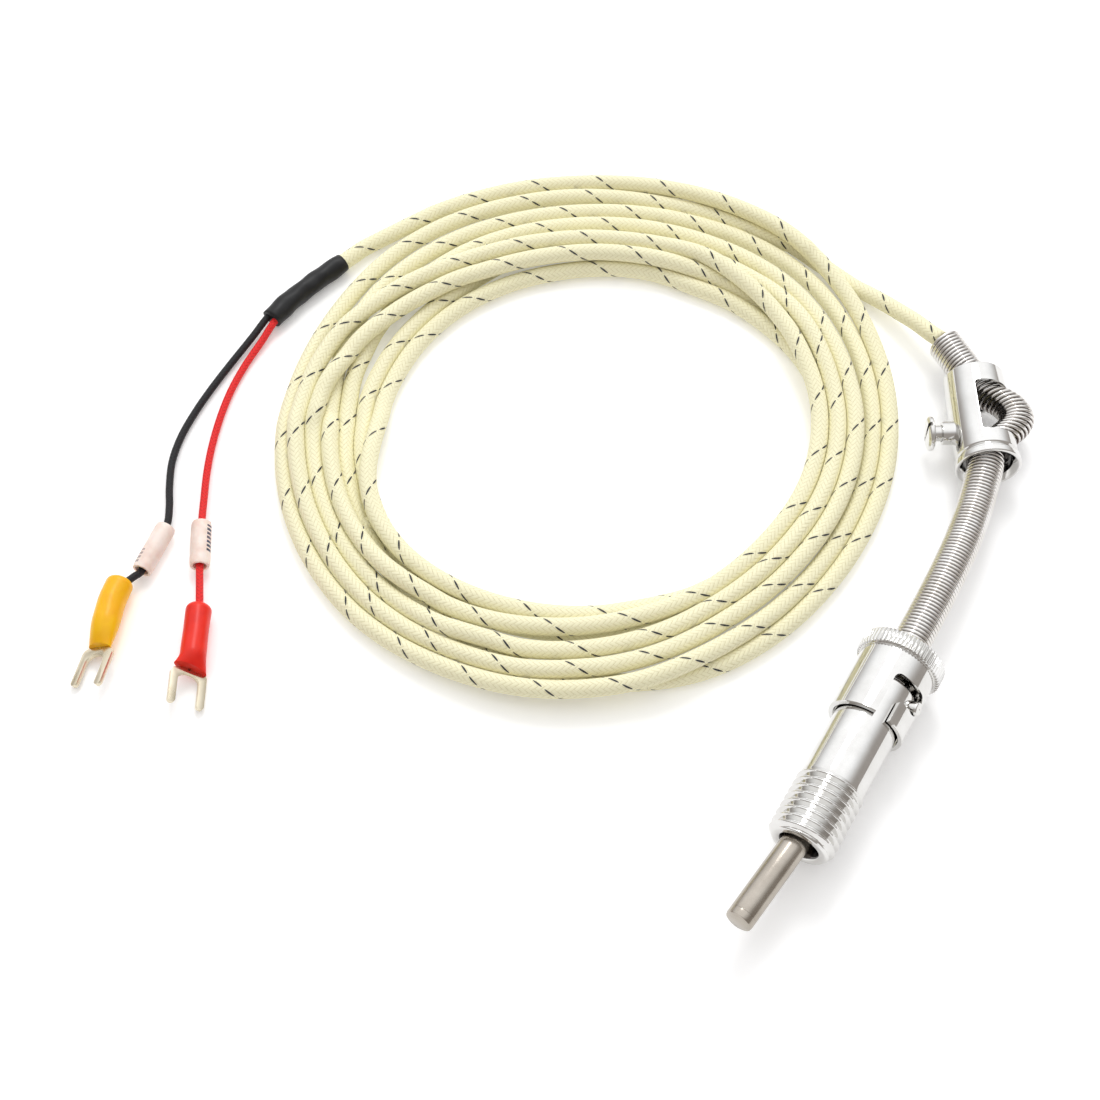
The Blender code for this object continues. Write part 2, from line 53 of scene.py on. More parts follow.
# The adapter's axis and thread end, as in the CAD
AXIS_X, THREAD_Y, AXIS_Z = 8.278, -46.975, 7.7
CAP_R, CAP_BORE_R, CAP_RIM, CAP_TOP = 6.85, 5.95, 25.3, 41.3
ADAPTER_R, ADAPTER_LENGTH, BORE_R, COUNTERBORE_R, SHOULDER = 5.65, 33.4, 3.35, 4.9, 13.0
PIN_R, PIN_TIP_R, PIN_STATION, PIN_ANGLE = 1.2, 7.5, 31.2, 66.0
SPRING_R, WIRE_R = 3.35, 0.36
CABLE_R, LEAD_R = 1.65, 0.7
CLAMP_X, CLAMP_Y, CLAMP_Z, CLAMP_TURN = -3.3, 85.6, 6.15, 31.6
CLAMP_R, CLAMP_BORE_R, CLAMP_LENGTH = 5.75, 5.15, 20.3
FLANGE_R, FLANGE_LENGTH, GROOVE_R, LIP_R, LIP_LENGTH = 6.1, 1.4, 5.3, 4.5, 2.6
WINDOW_FROM, WINDOW_TO, WINDOW_EDGE = 5.1, 16.2, -1.35
SCREW_AT, SCREW_R, SCREW_HEAD_R = 8.0, 1.5, 3.25
SCREW_TIP, SCREW_NECK, SCREW_END, BOSS_R, BOSS_END = 3.9, 9.2, 10.4, 2.2, 7.6
# The cap's slot and its tab, as stations and as angles round the cap, and its knurl
SLOT_TOP, TAB_TOP, SLOT_FROM, TAB_FROM, SLOT_TO = 34.0, 29.7, 9.0, 33.0, 80.0
KNURL_FROM, KNURL_R, KNURL_TEETH, CAP_CEILING = 38.2, 7.7, 64, 38.6
KNURL_DEPTHS = (0.0, 0.03, 0.26, 0.36, 0.26, 0.03)
COIL_X, COIL_Y = -74.0, 60.8
# Plain bars on the marker sleeves
BARS_PER_METRE = 1150.0

SPRING_ROUTE_IN = [(1.08, 16.95, 7.43), (1.41, 20.1, 7.35), (1.2, 25, 7.4), (0.5, 31, 7.6), (0.12, 37, 7.7),
                   (0.0, 42, 7.7), (-0.05, 50, 7.5), (-0.35, 60, 7.0), (-1.0, 69, 6.4), (-2.1, 77, 6.0)]
# In the clamp: (distance along it, distance towards its window). The spring is pushed out through the window.
SPRING_ROUTE_CLAMP = [(0.0, -0.6), (3.0, 0.0), (4.5, 0.7), (5.5, 1.6), (7.2, 4.0), (9.2, 6.1), (11.2, 6.7),
                      (13.4, 5.9), (15.2, 4.0), (16.7, 1.8), (18.4, 0.6), (21.5, -0.8), (25.0, -2.5),
                      (29.2, -4.5)]
LEAD_IN_ROUTE = [(-25.6, 109.4, 5.6), (-29.3, 111.1, 4.7), (-33.0, 112.6, 3.6), (-36.9, 114.0, 2.6),
                 (-41.0, 115.0, 1.9), (-45.2, 115.6, 1.7)]
TAIL_ROUTE = [(-132.6, 76.6, 1.75), (-133.7, 73.4, 1.85)]
SHRINK_ROUTE = [(-134.6, 70.0, 2.05), (-135.9, 66.0, 2.05), (-137.5, 60.0, 2.05), (-138.5, 55.0, 2.05),
                (-138.9, 51.2, 2.05)]
BLACK_ROUTE = [(-140.0, 46.0, 1.3), (-140.2, 39.0, 0.8), (-140.0, 32.0, 0.75), (-139.5, 26.0, 0.75),
               (-138.5, 20.0, 0.75), (-136.6, 14.5, 0.85), (-133.6, 9.5, 1.1), (-130.6, 5.4, 1.6)]
RED_ROUTE = [(-137.9, 46.0, 1.2), (-137.6, 40.0, 0.8), (-136.6, 34.0, 0.75), (-134.9, 28.0, 0.75),
             (-132.4, 21.5, 0.75), (-129.6, 15.8, 0.9), (-126.4, 10.4, 1.4)]
BLACK_MARKER = [(-128.5, 1.6, 1.9), (-126.9, -8.2, 1.9)]
RED_MARKER = [(-123.4, 5.5, 1.9), (-118.4, -2.2, 1.9)]
YELLOW_CRIMP = [(-128.5, -11.8, 2.6), (-127.4, -16.1, 2.65), (-125.6, -20.5, 2.8), (-124.2, -24.9, 2.95)]
RED_CRIMP = [(-113.4, -9.2, 2.6), (-111.5, -12.7, 2.7), (-109.4, -16.4, 2.9), (-107.2, -20.2, 3.1)]
# How far each fork is rolled about its sleeve, in degrees, and how far its barrel sits inside it
FORK_SEAT = {"yellow": (28, 0.5), "red": (-32, 0.9)}

# The coil, turn by turn: (angle within the turn, distance from the coil's centre, height of the cable's
# middle). A point without a height lies on the table. Angles grow the way the cable runs. Each row starts
# where the one before it ends.
COIL_TURN = 30.0
COIL_PASSES = [
    [(42, 60.5, 1.7), (52, 58.6), (62, 57.2), (75, 56.4), (90, 55.9), (105, 55.6), (120, 55.8), (135, 55.4),
     (145, 54.8), (155, 54.7), (165, 55.1), (180, 56.2), (200, 57.6), (225, 59.3), (245, 59.2, 2.8),
     (260, 59.5, 4.3), (280, 57.8, 4.6), (300, 54.6, 3.5), (320, 53.2, 2.2), (335, 53.4, 1.8)],
    [(0, 54.4), (20, 55.2), (32, 55.9), (42, 55.9), (52, 55.0), (62, 54.0), (75, 52.7), (90, 51.6),
     (105, 51.3), (120, 51.4), (130, 51.3), (145, 51.1), (155, 50.0), (165, 48.9, 1.9), (180, 48.1, 2.6),
     (205, 49.0, 3), (225, 49.6, 4), (245, 48.6, 4.5), (260, 47.2, 4.5), (280, 45.6, 4), (300, 43.8, 3.5),
     (320, 43.8, 3.8), (335, 43.9, 4.3)],
    [(0, 43.9, 4.5), (20, 43.5, 4.6), (40, 44.0, 4.9), (60, 43.4, 4.9), (80, 42.4, 4.9), (90, 42.2, 4.9),
     (100, 42.0, 4.9), (112, 42.4, 4.9), (120, 43.0, 4.9), (130, 44.5, 4.9), (140, 46.4, 4.9),
     (150, 48.8, 4.9), (160, 51.2, 4.6), (170, 52.8, 4.0), (180, 53.8, 3.4), (200, 55, 2.8),
     (225, 56.1, 2.4), (245, 55.8, 3.5), (260, 56, 4.6), (280, 53.6, 4.6), (300, 50.6, 4.2),
     (320, 49.5, 4.5), (340, 49.8, 4.5)],
    [(0, 50.2, 4.5), (20, 50.3, 4.3), (40, 50.8, 3.2), (60, 50.0, 1.9), (75, 49.2), (90, 48.3), (105, 47.9),
     (120, 47.6), (130, 47.0), (155, 45.6), (180, 45.2), (200, 45.6), (225, 46.3), (260, 46.2), (300, 46),
     (330, 45.9)],
    [(0, 45.9), (20, 44.2), (40, 41.4), (60, 39.2), (75, 38.1), (85, 37.2), (100, 36.3), (120, 36.2),
     (140, 36.6), (160, 37.4), (172, 38.2, 1.9), (182, 39.2, 2.7), (192, 41.0, 3.9), (201, 43.2, 4.8),
     (210, 44.9, 4.95), (225, 45.7, 4.6), (240, 45.5, 3.6), (260, 44.2, 3.4), (280, 42.6, 3),
     (300, 43.0, 1.9), (320, 45), (340, 47.5)],
    [(0, 49), (20, 47.2), (40, 44.4, 1.9), (55, 41.6, 3.4), (75, 39.4, 4.6), (90, 38.6, 4.8),
     (100, 38.3, 4.8), (112, 38.6, 4.8), (120, 39.1, 4.8), (130, 40.5, 4.7), (140, 42.3, 4.7),
     (150, 44.4, 4.6), (160, 46.6, 4.4), (170, 48.9, 4), (180, 50.8, 3.4), (205, 52.2, 2.4),
     (225, 52.7, 2.6), (245, 52.4, 4), (260, 52, 4.6), (280, 49.8, 4.6), (300, 47.2, 4.5), (320, 46.6, 4.5),
     (340, 47.1, 4.5)],
    [(0, 47.2, 4.5), (20, 47.3, 4.3), (40, 47.3, 3.2), (60, 46.2, 2.0), (80, 45.2), (90, 44.6), (100, 43.4),
     (110, 41.8), (120, 40.4), (130, 39.9), (145, 40.1), (160, 40.8), (180, 42.0, 1.8), (195, 43.6, 1.8),
     (210, 45.8), (225, 48.5), (240, 51.4), (255, 53.8), (270, 55.8), (285, 57.3), (300, 57.0), (320, 55.8),
     (335, 55.6)],
    [(0, 56.9), (15, 58.2, 2), (30, 59.2, 3), (42, 59.6, 4.2), (52, 59.3, 4.6), (62, 58.9, 4.2),
     (75, 58.7, 3), (90, 59.2, 1.9), (110, 59.3), (122, 59.7)],
]
COIL_STEP, COIL_ROUNDS = 1.5, 500


# ---------------------------------------------------------------- geometry helpers

def place(point):
    """A route's point, in millimetres from the thread end, as a point of the part's frame in metres."""
    x, y, z = point
    return Vector((x + AXIS_X, y + THREAD_Y, z)) * MM


def placed(points):
    return [place(point) for point in points]


def frame_at(origin, direction, up=(0, 0, 1)):
    z_axis = Vector(direction).normalized()
    x_axis = Vector(up).cross(z_axis).normalized()
    y_axis = z_axis.cross(x_axis)
    return Matrix.Translation(origin) @ Matrix((x_axis, y_axis, z_axis)).transposed().to_4x4()


def add_mesh(name, form, finish=None, matrix=None, smooth_angle=35.0):
    if isinstance(form, bmesh.types.BMesh):
        bmesh.ops.recalc_face_normals(form, faces=form.faces)
        mesh = bpy.data.meshes.new(name)
        form.to_mesh(mesh)
        form.free()
    else:
        mesh = form
    mesh.shade_smooth()
    if smooth_angle:
        mesh.set_sharp_from_angle(angle=math.radians(smooth_angle))
    made = bpy.data.objects.new(name, mesh)
    bpy.context.scene.collection.objects.link(made)
    if finish is not None:
        made.data.materials.append(finish)
    if matrix is not None:
        made.matrix_world = matrix
    return made


def grid_mesh(name, rows, finish, cap_ends=False, uv_length=None, smooth_angle=None, matrix=None):
    """A mesh over an array of points, rows x columns x 3, closed round each row. uv_length gives each row's
    distance along the piece."""
    rows = np.asarray(rows, float)
    count, around = rows.shape[:2]
    points = rows.reshape(-1, 3)
    row, column = np.meshgrid(np.arange(count - 1), np.arange(around), indexing="ij")
    after = (column + 1) % around
    faces = np.stack([row * around + column, row * around + after, (row + 1) * around + after,
                      (row + 1) * around + column], axis=-1).reshape(-1, 4)
    mesh = bpy.data.meshes.new(name)
    mesh.vertices.add(len(points))
    mesh.vertices.foreach_set("co", points.astype(np.float32).ravel())
    loops = faces.ravel()
    starts = np.arange(len(faces)) * 4
    totals = np.full(len(faces), 4)
    if cap_ends:
        ends = np.concatenate([np.arange(around)[::-1], (count - 1) * around + np.arange(around)])
        starts = np.concatenate([starts, [len(loops), len(loops) + around]])
        totals = np.concatenate([totals, [around, around]])
        loops = np.concatenate([loops, ends])
    mesh.loops.add(len(loops))
    mesh.loops.foreach_set("vertex_index", loops.astype(np.int32))
    mesh.polygons.add(len(starts))
    mesh.polygons.foreach_set("loop_start", starts.astype(np.int32))
    mesh.polygons.foreach_set("loop_total", totals.astype(np.int32))
    mesh.update(calc_edges=True)
    if uv_length is not None:
        uv_length = np.asarray(uv_length, float)
        share = column / around
        after_share = (column + 1) / around
        here, there = uv_length[row], uv_length[row + 1]
        corners = ((share, here), (after_share, here), (after_share, there), (share, there))
        uv = np.stack([np.stack(corner, -1) for corner in corners], axis=2).reshape(-1, 2)
        layer = mesh.uv_layers.new(name="along")
        flat = np.zeros((len(mesh.loops), 2), np.float32)
        flat[:len(uv)] = uv
        flat[len(uv):] = (0.5, uv_length[0])
        layer.data.foreach_set("uv", flat.ravel())
    mesh.validate()
    return add_mesh(name, mesh, finish, matrix, smooth_angle)


def unit(vectors):
    """A vector, or each row of an array of them, at length one."""
    return vectors / np.linalg.norm(vectors, axis=-1, keepdims=True)


def frames_along(points):
    """Side and up vectors carried along a route with no twist."""
    points = np.asarray(points, float)
    ahead = unit(np.gradient(points, axis=0))
    side = unit(np.cross((0, 0, 1.0), ahead[0]))
    sides = []
    for direction in ahead:
        side = unit(side - direction * (side @ direction))
        sides.append(side)
    sides = np.array(sides)
    return ahead, sides, np.cross(ahead, sides)


def travelled(points):
    """The distance along a route at each of its points."""
    steps = np.linalg.norm(np.diff(np.asarray(points, float), axis=0), axis=1)
    return np.concatenate([[0.0], np.cumsum(steps)])


def full_turn(sides):
    return np.arange(sides) * 2 * math.pi / sides


def rings(middles, reach, turn, side, up):
    """A ring of points round each middle. Angles are measured from its side vector towards its up vector."""
    outward = np.cos(turn)[None, :, None] * side[:, None, :] + np.sin(turn)[None, :, None] * up[:, None, :]
    return middles[:, None, :] + np.asarray(reach)[..., None] * outward


def tube(name, points, radius, finish, sides=20, dents=None):
    """A round tube along a route. dents(turn, length) adds to the radius."""
    points = np.asarray(points, float)
    _, side, up = frames_along(points)
    turn = full_turn(sides)
    length = travelled(points)
    reach = np.full((len(points), sides), float(radius))
    if dents is not None:
        reach = reach + dents(turn[None, :], length[:, None])
    return grid_mesh(name, rings(points, reach, turn, side, up), finish, cap_ends=True, uv_length=length)


def smooth_route(points, spacing):
    """Points along a Catmull-Rom curve through the given points, an equal distance apart."""
    points = [Vector(point) for point in points]
    ends = [2 * points[0] - points[1], *points, 2 * points[-1] - points[-2]]
    fine = [points[0]]
    for index in range(1, len(ends) - 2):
        before, start, end, after = ends[index - 1:index + 3]
        square, cube = 2 * before - 5 * start + 4 * end - after, 3 * start - before - 3 * end + after
        for step in range(1, 25):
            t = step / 24
            fine.append(0.5 * (2 * start + (end - before) * t + square * t ** 2 + cube * t ** 3))
    return spaced(np.array([tuple(point) for point in fine]), spacing)


def spaced(points, spacing):
    """The same route with its points an equal distance apart."""
    points = np.asarray(points, float)
    length = travelled(points)
    count = max(2, round(length[-1] / (spacing * MM)))
    wanted = np.linspace(0, length[-1], count + 1)
    return np.stack([np.interp(wanted, length, points[:, axis]) for axis in range(3)], axis=1)


def lathe(outline, segments, shape=None):
    """Turn a closed outline of (radius, station) about local Z. shape(radius, step, station), if there is one,
    gives the radius at each step round it."""
    form = bmesh.new()
    rings = []
    for radius, station in outline:
        if radius == 0:
            rings.append([form.verts.new((0, 0, station * MM))])
            continue
        ring = []
        for step in range(segments):
            angle = 2 * math.pi * step / segments
            reach = (shape(radius, step, station) if shape else radius) * MM
            ring.append(form.verts.new((reach * math.cos(angle), reach * math.sin(angle), station * MM)))
        rings.append(ring)
    for index, ring in enumerate(rings):
        following = rings[(index + 1) % len(rings)]
        if len(ring) == 1 and len(following) == 1:
            continue
        for step in range(segments):
            after = (step + 1) % segments
            if len(ring) == 1:
                form.faces.new((ring[0], following[step], following[after]))
            elif len(following) == 1:
                form.faces.new((following[0], ring[step], ring[after]))
            else:
                form.faces.new((ring[step], ring[after], following[after], following[step]))
    return form


def rounded(outline, radius, steps=3):
    """Replace the convex and concave corners of a closed outline by short arcs."""
    corners = []
    outline = np.array(outline, float)
    for index, corner in enumerate(outline):
        before, after = outline[index - 1], outline[(index + 1) % len(outline)]
        reach = min(radius, 0.45 * np.linalg.norm(before - corner), 0.45 * np.linalg.norm(after - corner))
        start = corner + (before - corner) / max(1e-9, np.linalg.norm(before - corner)) * reach
        end = corner + (after - corner) / max(1e-9, np.linalg.norm(after - corner)) * reach
        for step in range(steps + 1):
            t = step / steps
            corners.append(tuple((1 - t) ** 2 * start + 2 * t * (1 - t) * corner + t ** 2 * end))
    return corners


def cut(piece, form, matrix, operation="DIFFERENCE"):
    """Boolean a closed form into a piece, and apply it."""
    tool = add_mesh("tool", form, None, matrix)
    step = piece.modifiers.new("cut", "BOOLEAN")
    step.operation = operation
    step.solver = "EXACT"
    step.object = tool
    apply_modifiers(piece)
    bpy.data.objects.remove(tool, do_unlink=True)


def apply_modifiers(piece):
    bpy.context.view_layer.update()
    shown = piece.evaluated_get(bpy.context.evaluated_depsgraph_get())
    mesh = bpy.data.meshes.new_from_object(shown)
    piece.modifiers.clear()
    piece.data = mesh


def soften(piece, width, angle=35.0, segments=2):
    """Round a hard-surface piece's sharp edges so that they catch the light."""
    step = piece.modifiers.new("bevel", "BEVEL")
    step.width = width * MM
    step.segments = segments
    step.limit_method = "ANGLE"
    step.angle_limit = math.radians(angle)
    step.miter_outer = "MITER_ARC"
    apply_modifiers(piece)
    piece.data.shade_smooth()
    piece.data.set_sharp_from_angle(angle=math.radians(40))


def weld(piece):
    form = bmesh.new()
    form.from_mesh(piece.data)
    bmesh.ops.remove_doubles(form, verts=form.verts, dist=1e-7)
    bmesh.ops.recalc_face_normals(form, faces=form.faces)
    form.to_mesh(piece.data)
    form.free()


def box_form(size):
    form = bmesh.new()
    bmesh.ops.create_cube(form, size=1.0)
    bmesh.ops.scale(form, vec=Vector(size) * MM, verts=form.verts)
    return form


def rod_form(radius, start, end, segments=48):
    return lathe([(0, start), (radius, start), (radius, end), (0, end)], segments)


def arc(centre, reach, start, end, steps):
    """Points along an ellipse's arc, from one angle in degrees to another."""
    turns = np.radians(np.linspace(start, end, steps + 1))
    return [(centre[0] + reach[0] * math.cos(turn), centre[1] + reach[1] * math.sin(turn)) for turn in turns]


def enlist(piece, body, slot, *nodes):
    """Say what a piece moves with and which CAD nodes it stands for, and hide those nodes. slot is not used."""
    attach(piece, body)
    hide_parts(*nodes)


# ---------------------------------------------------------------- materials

def node(tree, kind, inputs=None, **settings):
    """A shader node. inputs gives a constant or another node's socket for each input's name or number."""
    made = tree.nodes.new(kind)
    for key, value in settings.items():
        setattr(made, key, value)
    for key, value in (inputs or {}).items():
        if isinstance(value, bpy.types.NodeSocket):
            tree.links.new(value, made.inputs[key])
        else:
            made.inputs[key].default_value = value
    return made


def new_material(name, colour, roughness, metallic=0.0, **sockets):
    made = bpy.data.materials.new(name)
    made.use_nodes = True
    shader = made.node_tree.nodes["Principled BSDF"]
    shader.inputs["Base Color"].default_value = (*colour, 1.0)
    shader.inputs["Roughness"].default_value = roughness
    shader.inputs["Metallic"].default_value = metallic
    for key, value in sockets.items():
        shader.inputs[key.replace("_", " ")].default_value = value
    return made, made.node_tree, shader


def math_node(tree, operation, *values):
    return node(tree, "ShaderNodeMath", dict(enumerate(values)), operation=operation).outputs[0]


def mix_colour(tree, share, first, second, kind="MIX"):
    inputs = {0: share, 6: first, 7: second}
    return node(tree, "ShaderNodeMix", inputs, data_type="RGBA", blend_type=kind).outputs[2]


def ramp(tree, value, stops):
    made = node(tree, "ShaderNodeValToRGB", {0: value})
    while len(made.color_ramp.elements) < len(stops):
        made.color_ramp.elements.new(0.5)
    for element, (position, colour) in zip(made.color_ramp.elements, stops):
        element.position = position
        element.color = (*colour, 1.0)
    return made.outputs[0]


def own_map(tree):
    """A tube's own map: the share of a turn round it, and the distance along it in metres."""
    where = node(tree, "ShaderNodeUVMap", uv_map="along").outputs[0]
    split = node(tree, "ShaderNodeSeparateXYZ", {0: where})
    return split.outputs[0], split.outputs[1]


def noise(tree, scale, detail=4.0, roughness=0.5, stretch=None):
    where = node(tree, "ShaderNodeTexCoord").outputs["Object"]
    if stretch is not None:
        where = node(tree, "ShaderNodeMapping", {"Vector": where, "Scale": stretch}).outputs[0]
    inputs = {"Vector": where, "Scale": scale, "Detail": detail, "Roughness": roughness}
    return node(tree, "ShaderNodeTexNoise", inputs).outputs["Fac"]


def bump(tree, shader, height, distance, strength):
    made = node(tree, "ShaderNodeBump", {"Height": height, "Distance": distance * MM, "Strength": strength})
    tree.links.new(made.outputs["Normal"], shader.inputs["Normal"])


def metal(name, colour, roughness, spread, tint, grain_scale, grain_depth, stretch=None):
    """Bare or plated metal: uneven gloss, a slight change of tint, and fine marks."""
    made, tree, shader = new_material(name, colour, roughness, 1.0)
    cloud = noise(tree, 220.0, 5.0, 0.6)
    gloss = node(tree, "ShaderNodeMapRange", {"Value": cloud, "To Min": max(0.02, roughness - spread),
                                              "To Max": roughness + spread})
    tree.links.new(gloss.outputs[0], shader.inputs["Roughness"])
    tree.links.new(ramp(tree, cloud, [(0.3, tint), (0.7, colour)]), shader.inputs["Base Color"])
    bump(tree, shader, noise(tree, grain_scale, 6.0, 0.65, stretch), grain_depth, 0.6)
    return made


def chrome(name):
    return metal(name, (0.77, 0.765, 0.75), 0.075, 0.035, (0.68, 0.67, 0.65), 900.0, 0.006)


def braid(name, light, dark, carriers, pitch, tracer=None, depth=0.08, roughness=0.75, sheen=0.0):
    """A two-over-two-under braid. It follows the tube's own map: u round it and v along it in metres."""
    made, tree, shader = new_material(name, light, roughness, Sheen_Weight=sheen, Sheen_Roughness=0.5,
                                      Specular_IOR_Level=0.3)
    calc = partial(math_node, tree)
    turn, length = own_map(tree)
    around = calc("MULTIPLY", turn, float(carriers))
    along = calc("MULTIPLY", length, carriers / pitch)
    one = calc("SUBTRACT", around, along)
    two = calc("ADD", around, along)
    lane_one, lane_two = calc("FLOOR", one), calc("FLOOR", two)
    share_one, share_two = calc("FRACT", one), calc("FRACT", two)
    over = calc("LESS_THAN", calc("FLOORED_MODULO", calc("ADD", lane_one, lane_two), 4.0), 1.5)
    under = calc("SUBTRACT", 1.0, over)
    # How far across the strand that lies on top, 0 to 1: the strand is a low arch of three filaments
    across = calc("ADD", calc("MULTIPLY", share_one, over), calc("MULTIPLY", share_two, under))
    arch = calc("POWER", calc("SINE", calc("MULTIPLY", across, math.pi)), 0.35)
    filament = calc("COSINE", calc("MULTIPLY", across, 6 * math.pi))
    level = calc("MULTIPLY_ADD", filament, -0.12, arch)
    level = calc("MULTIPLY_ADD", noise(tree, 2600.0, 3.0, 0.6), 0.3, level)
    # The colour follows the strands' height, with random fuzz: painted shade in the low parts between and under
    # the strands
    shade = ramp(tree, calc("MULTIPLY", level, 0.8), [(0.2, dark), (0.72, light)])
    if tracer is not None:
        # One strand is dark: it shows as a pointed dash wherever it passes over the others
        inset = calc("ABSOLUTE", calc("SUBTRACT", share_one, 0.5))
        step = calc("FRACT", calc("MULTIPLY_ADD", calc("ADD", lane_one, two), 0.25, 0.12))
        from_middle = calc("SUBTRACT", calc("DIVIDE", step, 0.38), 1.0)
        taper = calc("SUBTRACT", 1.0, calc("MULTIPLY", from_middle, from_middle))
        taper = calc("SQRT", calc("MAXIMUM", taper, 0.0))
        marked = calc("MULTIPLY", calc("LESS_THAN", calc("FLOORED_MODULO", lane_one, float(carriers)), 0.5),
                      calc("LESS_THAN", inset, calc("MULTIPLY", taper, 0.27)))
        shade = mix_colour(tree, marked, shade, (*tracer, 1.0))
    tree.links.new(shade, shader.inputs["Base Color"])
    bump(tree, shader, level, depth, 0.8)
    return made


def plastic(name, colour, deep, roughness, subsurface, wave_scale, wave_depth, specular=0.35):
    """Soft insulation: slightly uneven colour and a gently dented, glossy surface."""
    made, tree, shader = new_material(name, colour, roughness, Subsurface_Weight=subsurface,
                                      Subsurface_Radius=(0.0015, 0.0006, 0.0003), Subsurface_Scale=1.0,
                                      Specular_IOR_Level=specular)
    shade = ramp(tree, noise(tree, 260.0, 3.0), [(0.3, deep), (0.65, colour)])
    tree.links.new(shade, shader.inputs["Base Color"])
    bump(tree, shader, noise(tree, wave_scale, 3.0), wave_depth, 0.7)
    return made


def paint_bore_shade(made, radius, start):
    """Paint shade on the surface within a radius of the piece's own Z axis, from a station on: a dark colour
    stands for the shadow inside the bore."""
    tree = made.node_tree
    base = tree.nodes["Principled BSDF"].inputs["Base Color"]
    where = node(tree, "ShaderNodeTexCoord").outputs["Object"]
    flat = node(tree, "ShaderNodeVectorMath", {0: where, 1: (1, 1, 0)}, operation="MULTIPLY").outputs[0]
    reach = node(tree, "ShaderNodeVectorMath", {0: flat}, operation="LENGTH").outputs["Value"]
    station = node(tree, "ShaderNodeSeparateXYZ", {0: where}).outputs[2]
    within = math_node(tree, "MULTIPLY", math_node(tree, "LESS_THAN", reach, radius * MM),
                       math_node(tree, "GREATER_THAN", station, start * MM))
    # Painted shade: the bore's inner wall gets a dark colour
    tree.links.new(mix_colour(tree, within, base.links[0].from_socket, (0.13, 0.125, 0.12, 1.0)), base)
    return made


def paint_flank_shade(made):
    """Paint shade on a spring's wire where its turns touch, in the crevices between them. The wire's map has u
    = 0 on the spring's outside.
    """
    tree = made.node_tree
    base = tree.nodes["Principled BSDF"].inputs["Base Color"]
    outside = math_node(tree, "COSINE", math_node(tree, "MULTIPLY", own_map(tree)[0], 2 * math.pi))
    outside = math_node(tree, "MULTIPLY_ADD", outside, 0.5, 0.5)
    # Painted shade: the wire darkens away from the spring's outside, on its flanks and inner side between the
    # turns
    flank_shade = ramp(tree, outside, [(0.5, (0.20, 0.16, 0.14)), (0.86, (1.0, 1.0, 1.0))])
    tree.links.new(mix_colour(tree, 1.0, base.links[0].from_socket, flank_shade, "MULTIPLY"), base)
    return made


def marker_material(name, start, end, strength):
    """Pinkish white sleeve. Plain dark bars along one side, from start to end, stand for its characters."""
    made, tree, shader = new_material(name, (0.90, 0.74, 0.66), 0.45, Subsurface_Weight=0.3,
                                      Subsurface_Radius=(0.001, 0.0007, 0.0005), Subsurface_Scale=1.0)
    calc = partial(math_node, tree)
    turn, length = own_map(tree)
    cloud = noise(tree, 400.0, 3.0)
    skin = ramp(tree, cloud, [(0.3, (0.82, 0.62, 0.54)), (0.65, (0.93, 0.79, 0.72))])
    worn = calc("LESS_THAN", calc("FRACT", calc("MULTIPLY", length, BARS_PER_METRE)), 0.6)
    for value, low, high in ((length, start * MM, end * MM), (turn, 0.02, 0.13)):
        inside = calc("MULTIPLY", calc("GREATER_THAN", value, low), calc("LESS_THAN", value, high))
        worn = calc("MULTIPLY", worn, inside)
    worn = calc("MULTIPLY", worn, calc("MULTIPLY_ADD", cloud, 0.5 * strength, 0.75 * strength))
    tree.links.new(mix_colour(tree, worn, skin, (0.05, 0.05, 0.09, 1.0)), shader.inputs["Base Color"])
    bump(tree, shader, cloud, 0.05, 0.6)
    return made


def make_materials():
    return {
        "chrome": chrome("chrome"),
        # The bores of the adapter and the clamp get painted shade
        "adapter_chrome": paint_bore_shade(chrome("adapter_chrome"), 3.6, -1.0),
        "clamp_chrome": paint_bore_shade(chrome("clamp_chrome"), 5.22, 0.9),
        "spring_steel": metal("spring_steel", (0.75, 0.74, 0.73), 0.13, 0.06, (0.56, 0.51, 0.46), 1800.0, 0.01),
        "spring_wire": paint_flank_shade(metal("spring_wire", (0.82, 0.81, 0.80), 0.13, 0.06, (0.68, 0.65, 0.61),
                                          1800.0, 0.01)),
        "stainless": metal("stainless", (0.48, 0.44, 0.385), 0.20, 0.06, (0.39, 0.35, 0.30), 500.0, 0.02,
                           stretch=(9.0, 9.0, 0.35)),
        "tinned": metal("tinned", (0.80, 0.73, 0.58), 0.28, 0.08, (0.66, 0.58, 0.42), 700.0, 0.02),
        "cable": braid("cable_braid", (0.95, 0.91, 0.64), (0.68, 0.60, 0.32), 12, 0.0132, (0.05, 0.05, 0.05),
                       sheen=0.05),
        "core": plastic("core_braid", (0.90, 0.87, 0.60), (0.7, 0.64, 0.34), 0.8, 0.0, 2600.0, 0.08),
        "lead_red": braid("lead_red", (0.84, 0.022, 0.022), (0.34, 0.003, 0.005), 6, 0.0048, None, 0.10, 0.5),
        "lead_black": braid("lead_black", (0.016, 0.016, 0.018), (0.005, 0.005, 0.006), 6, 0.0048, None, 0.10,
                            0.5),
        "shrink": plastic("heat_shrink", (0.015, 0.015, 0.016), (0.008, 0.008, 0.009), 0.45, 0.0, 420.0, 0.12,
                          0.3),
        "marker_red": marker_material("marker_red", 1.0, 6.9, 1.0),
        "marker_black": marker_material("marker_black", 6.2, 9.2, 0.6),
        "yellow": plastic("crimp_yellow", (1.0, 0.53, 0.002), (0.94, 0.44, 0.002), 0.33, 0.2, 330.0, 0.10),
        "red": plastic("crimp_red", (0.86, 0.022, 0.006), (0.74, 0.012, 0.004), 0.35, 0.25, 330.0, 0.10),
        "ceramic": plastic("ceramic", (0.86, 0.84, 0.78), (0.78, 0.75, 0.68), 0.7, 0.0, 900.0, 0.01),
    }


# ---------------------------------------------------------------- camera, light and floor

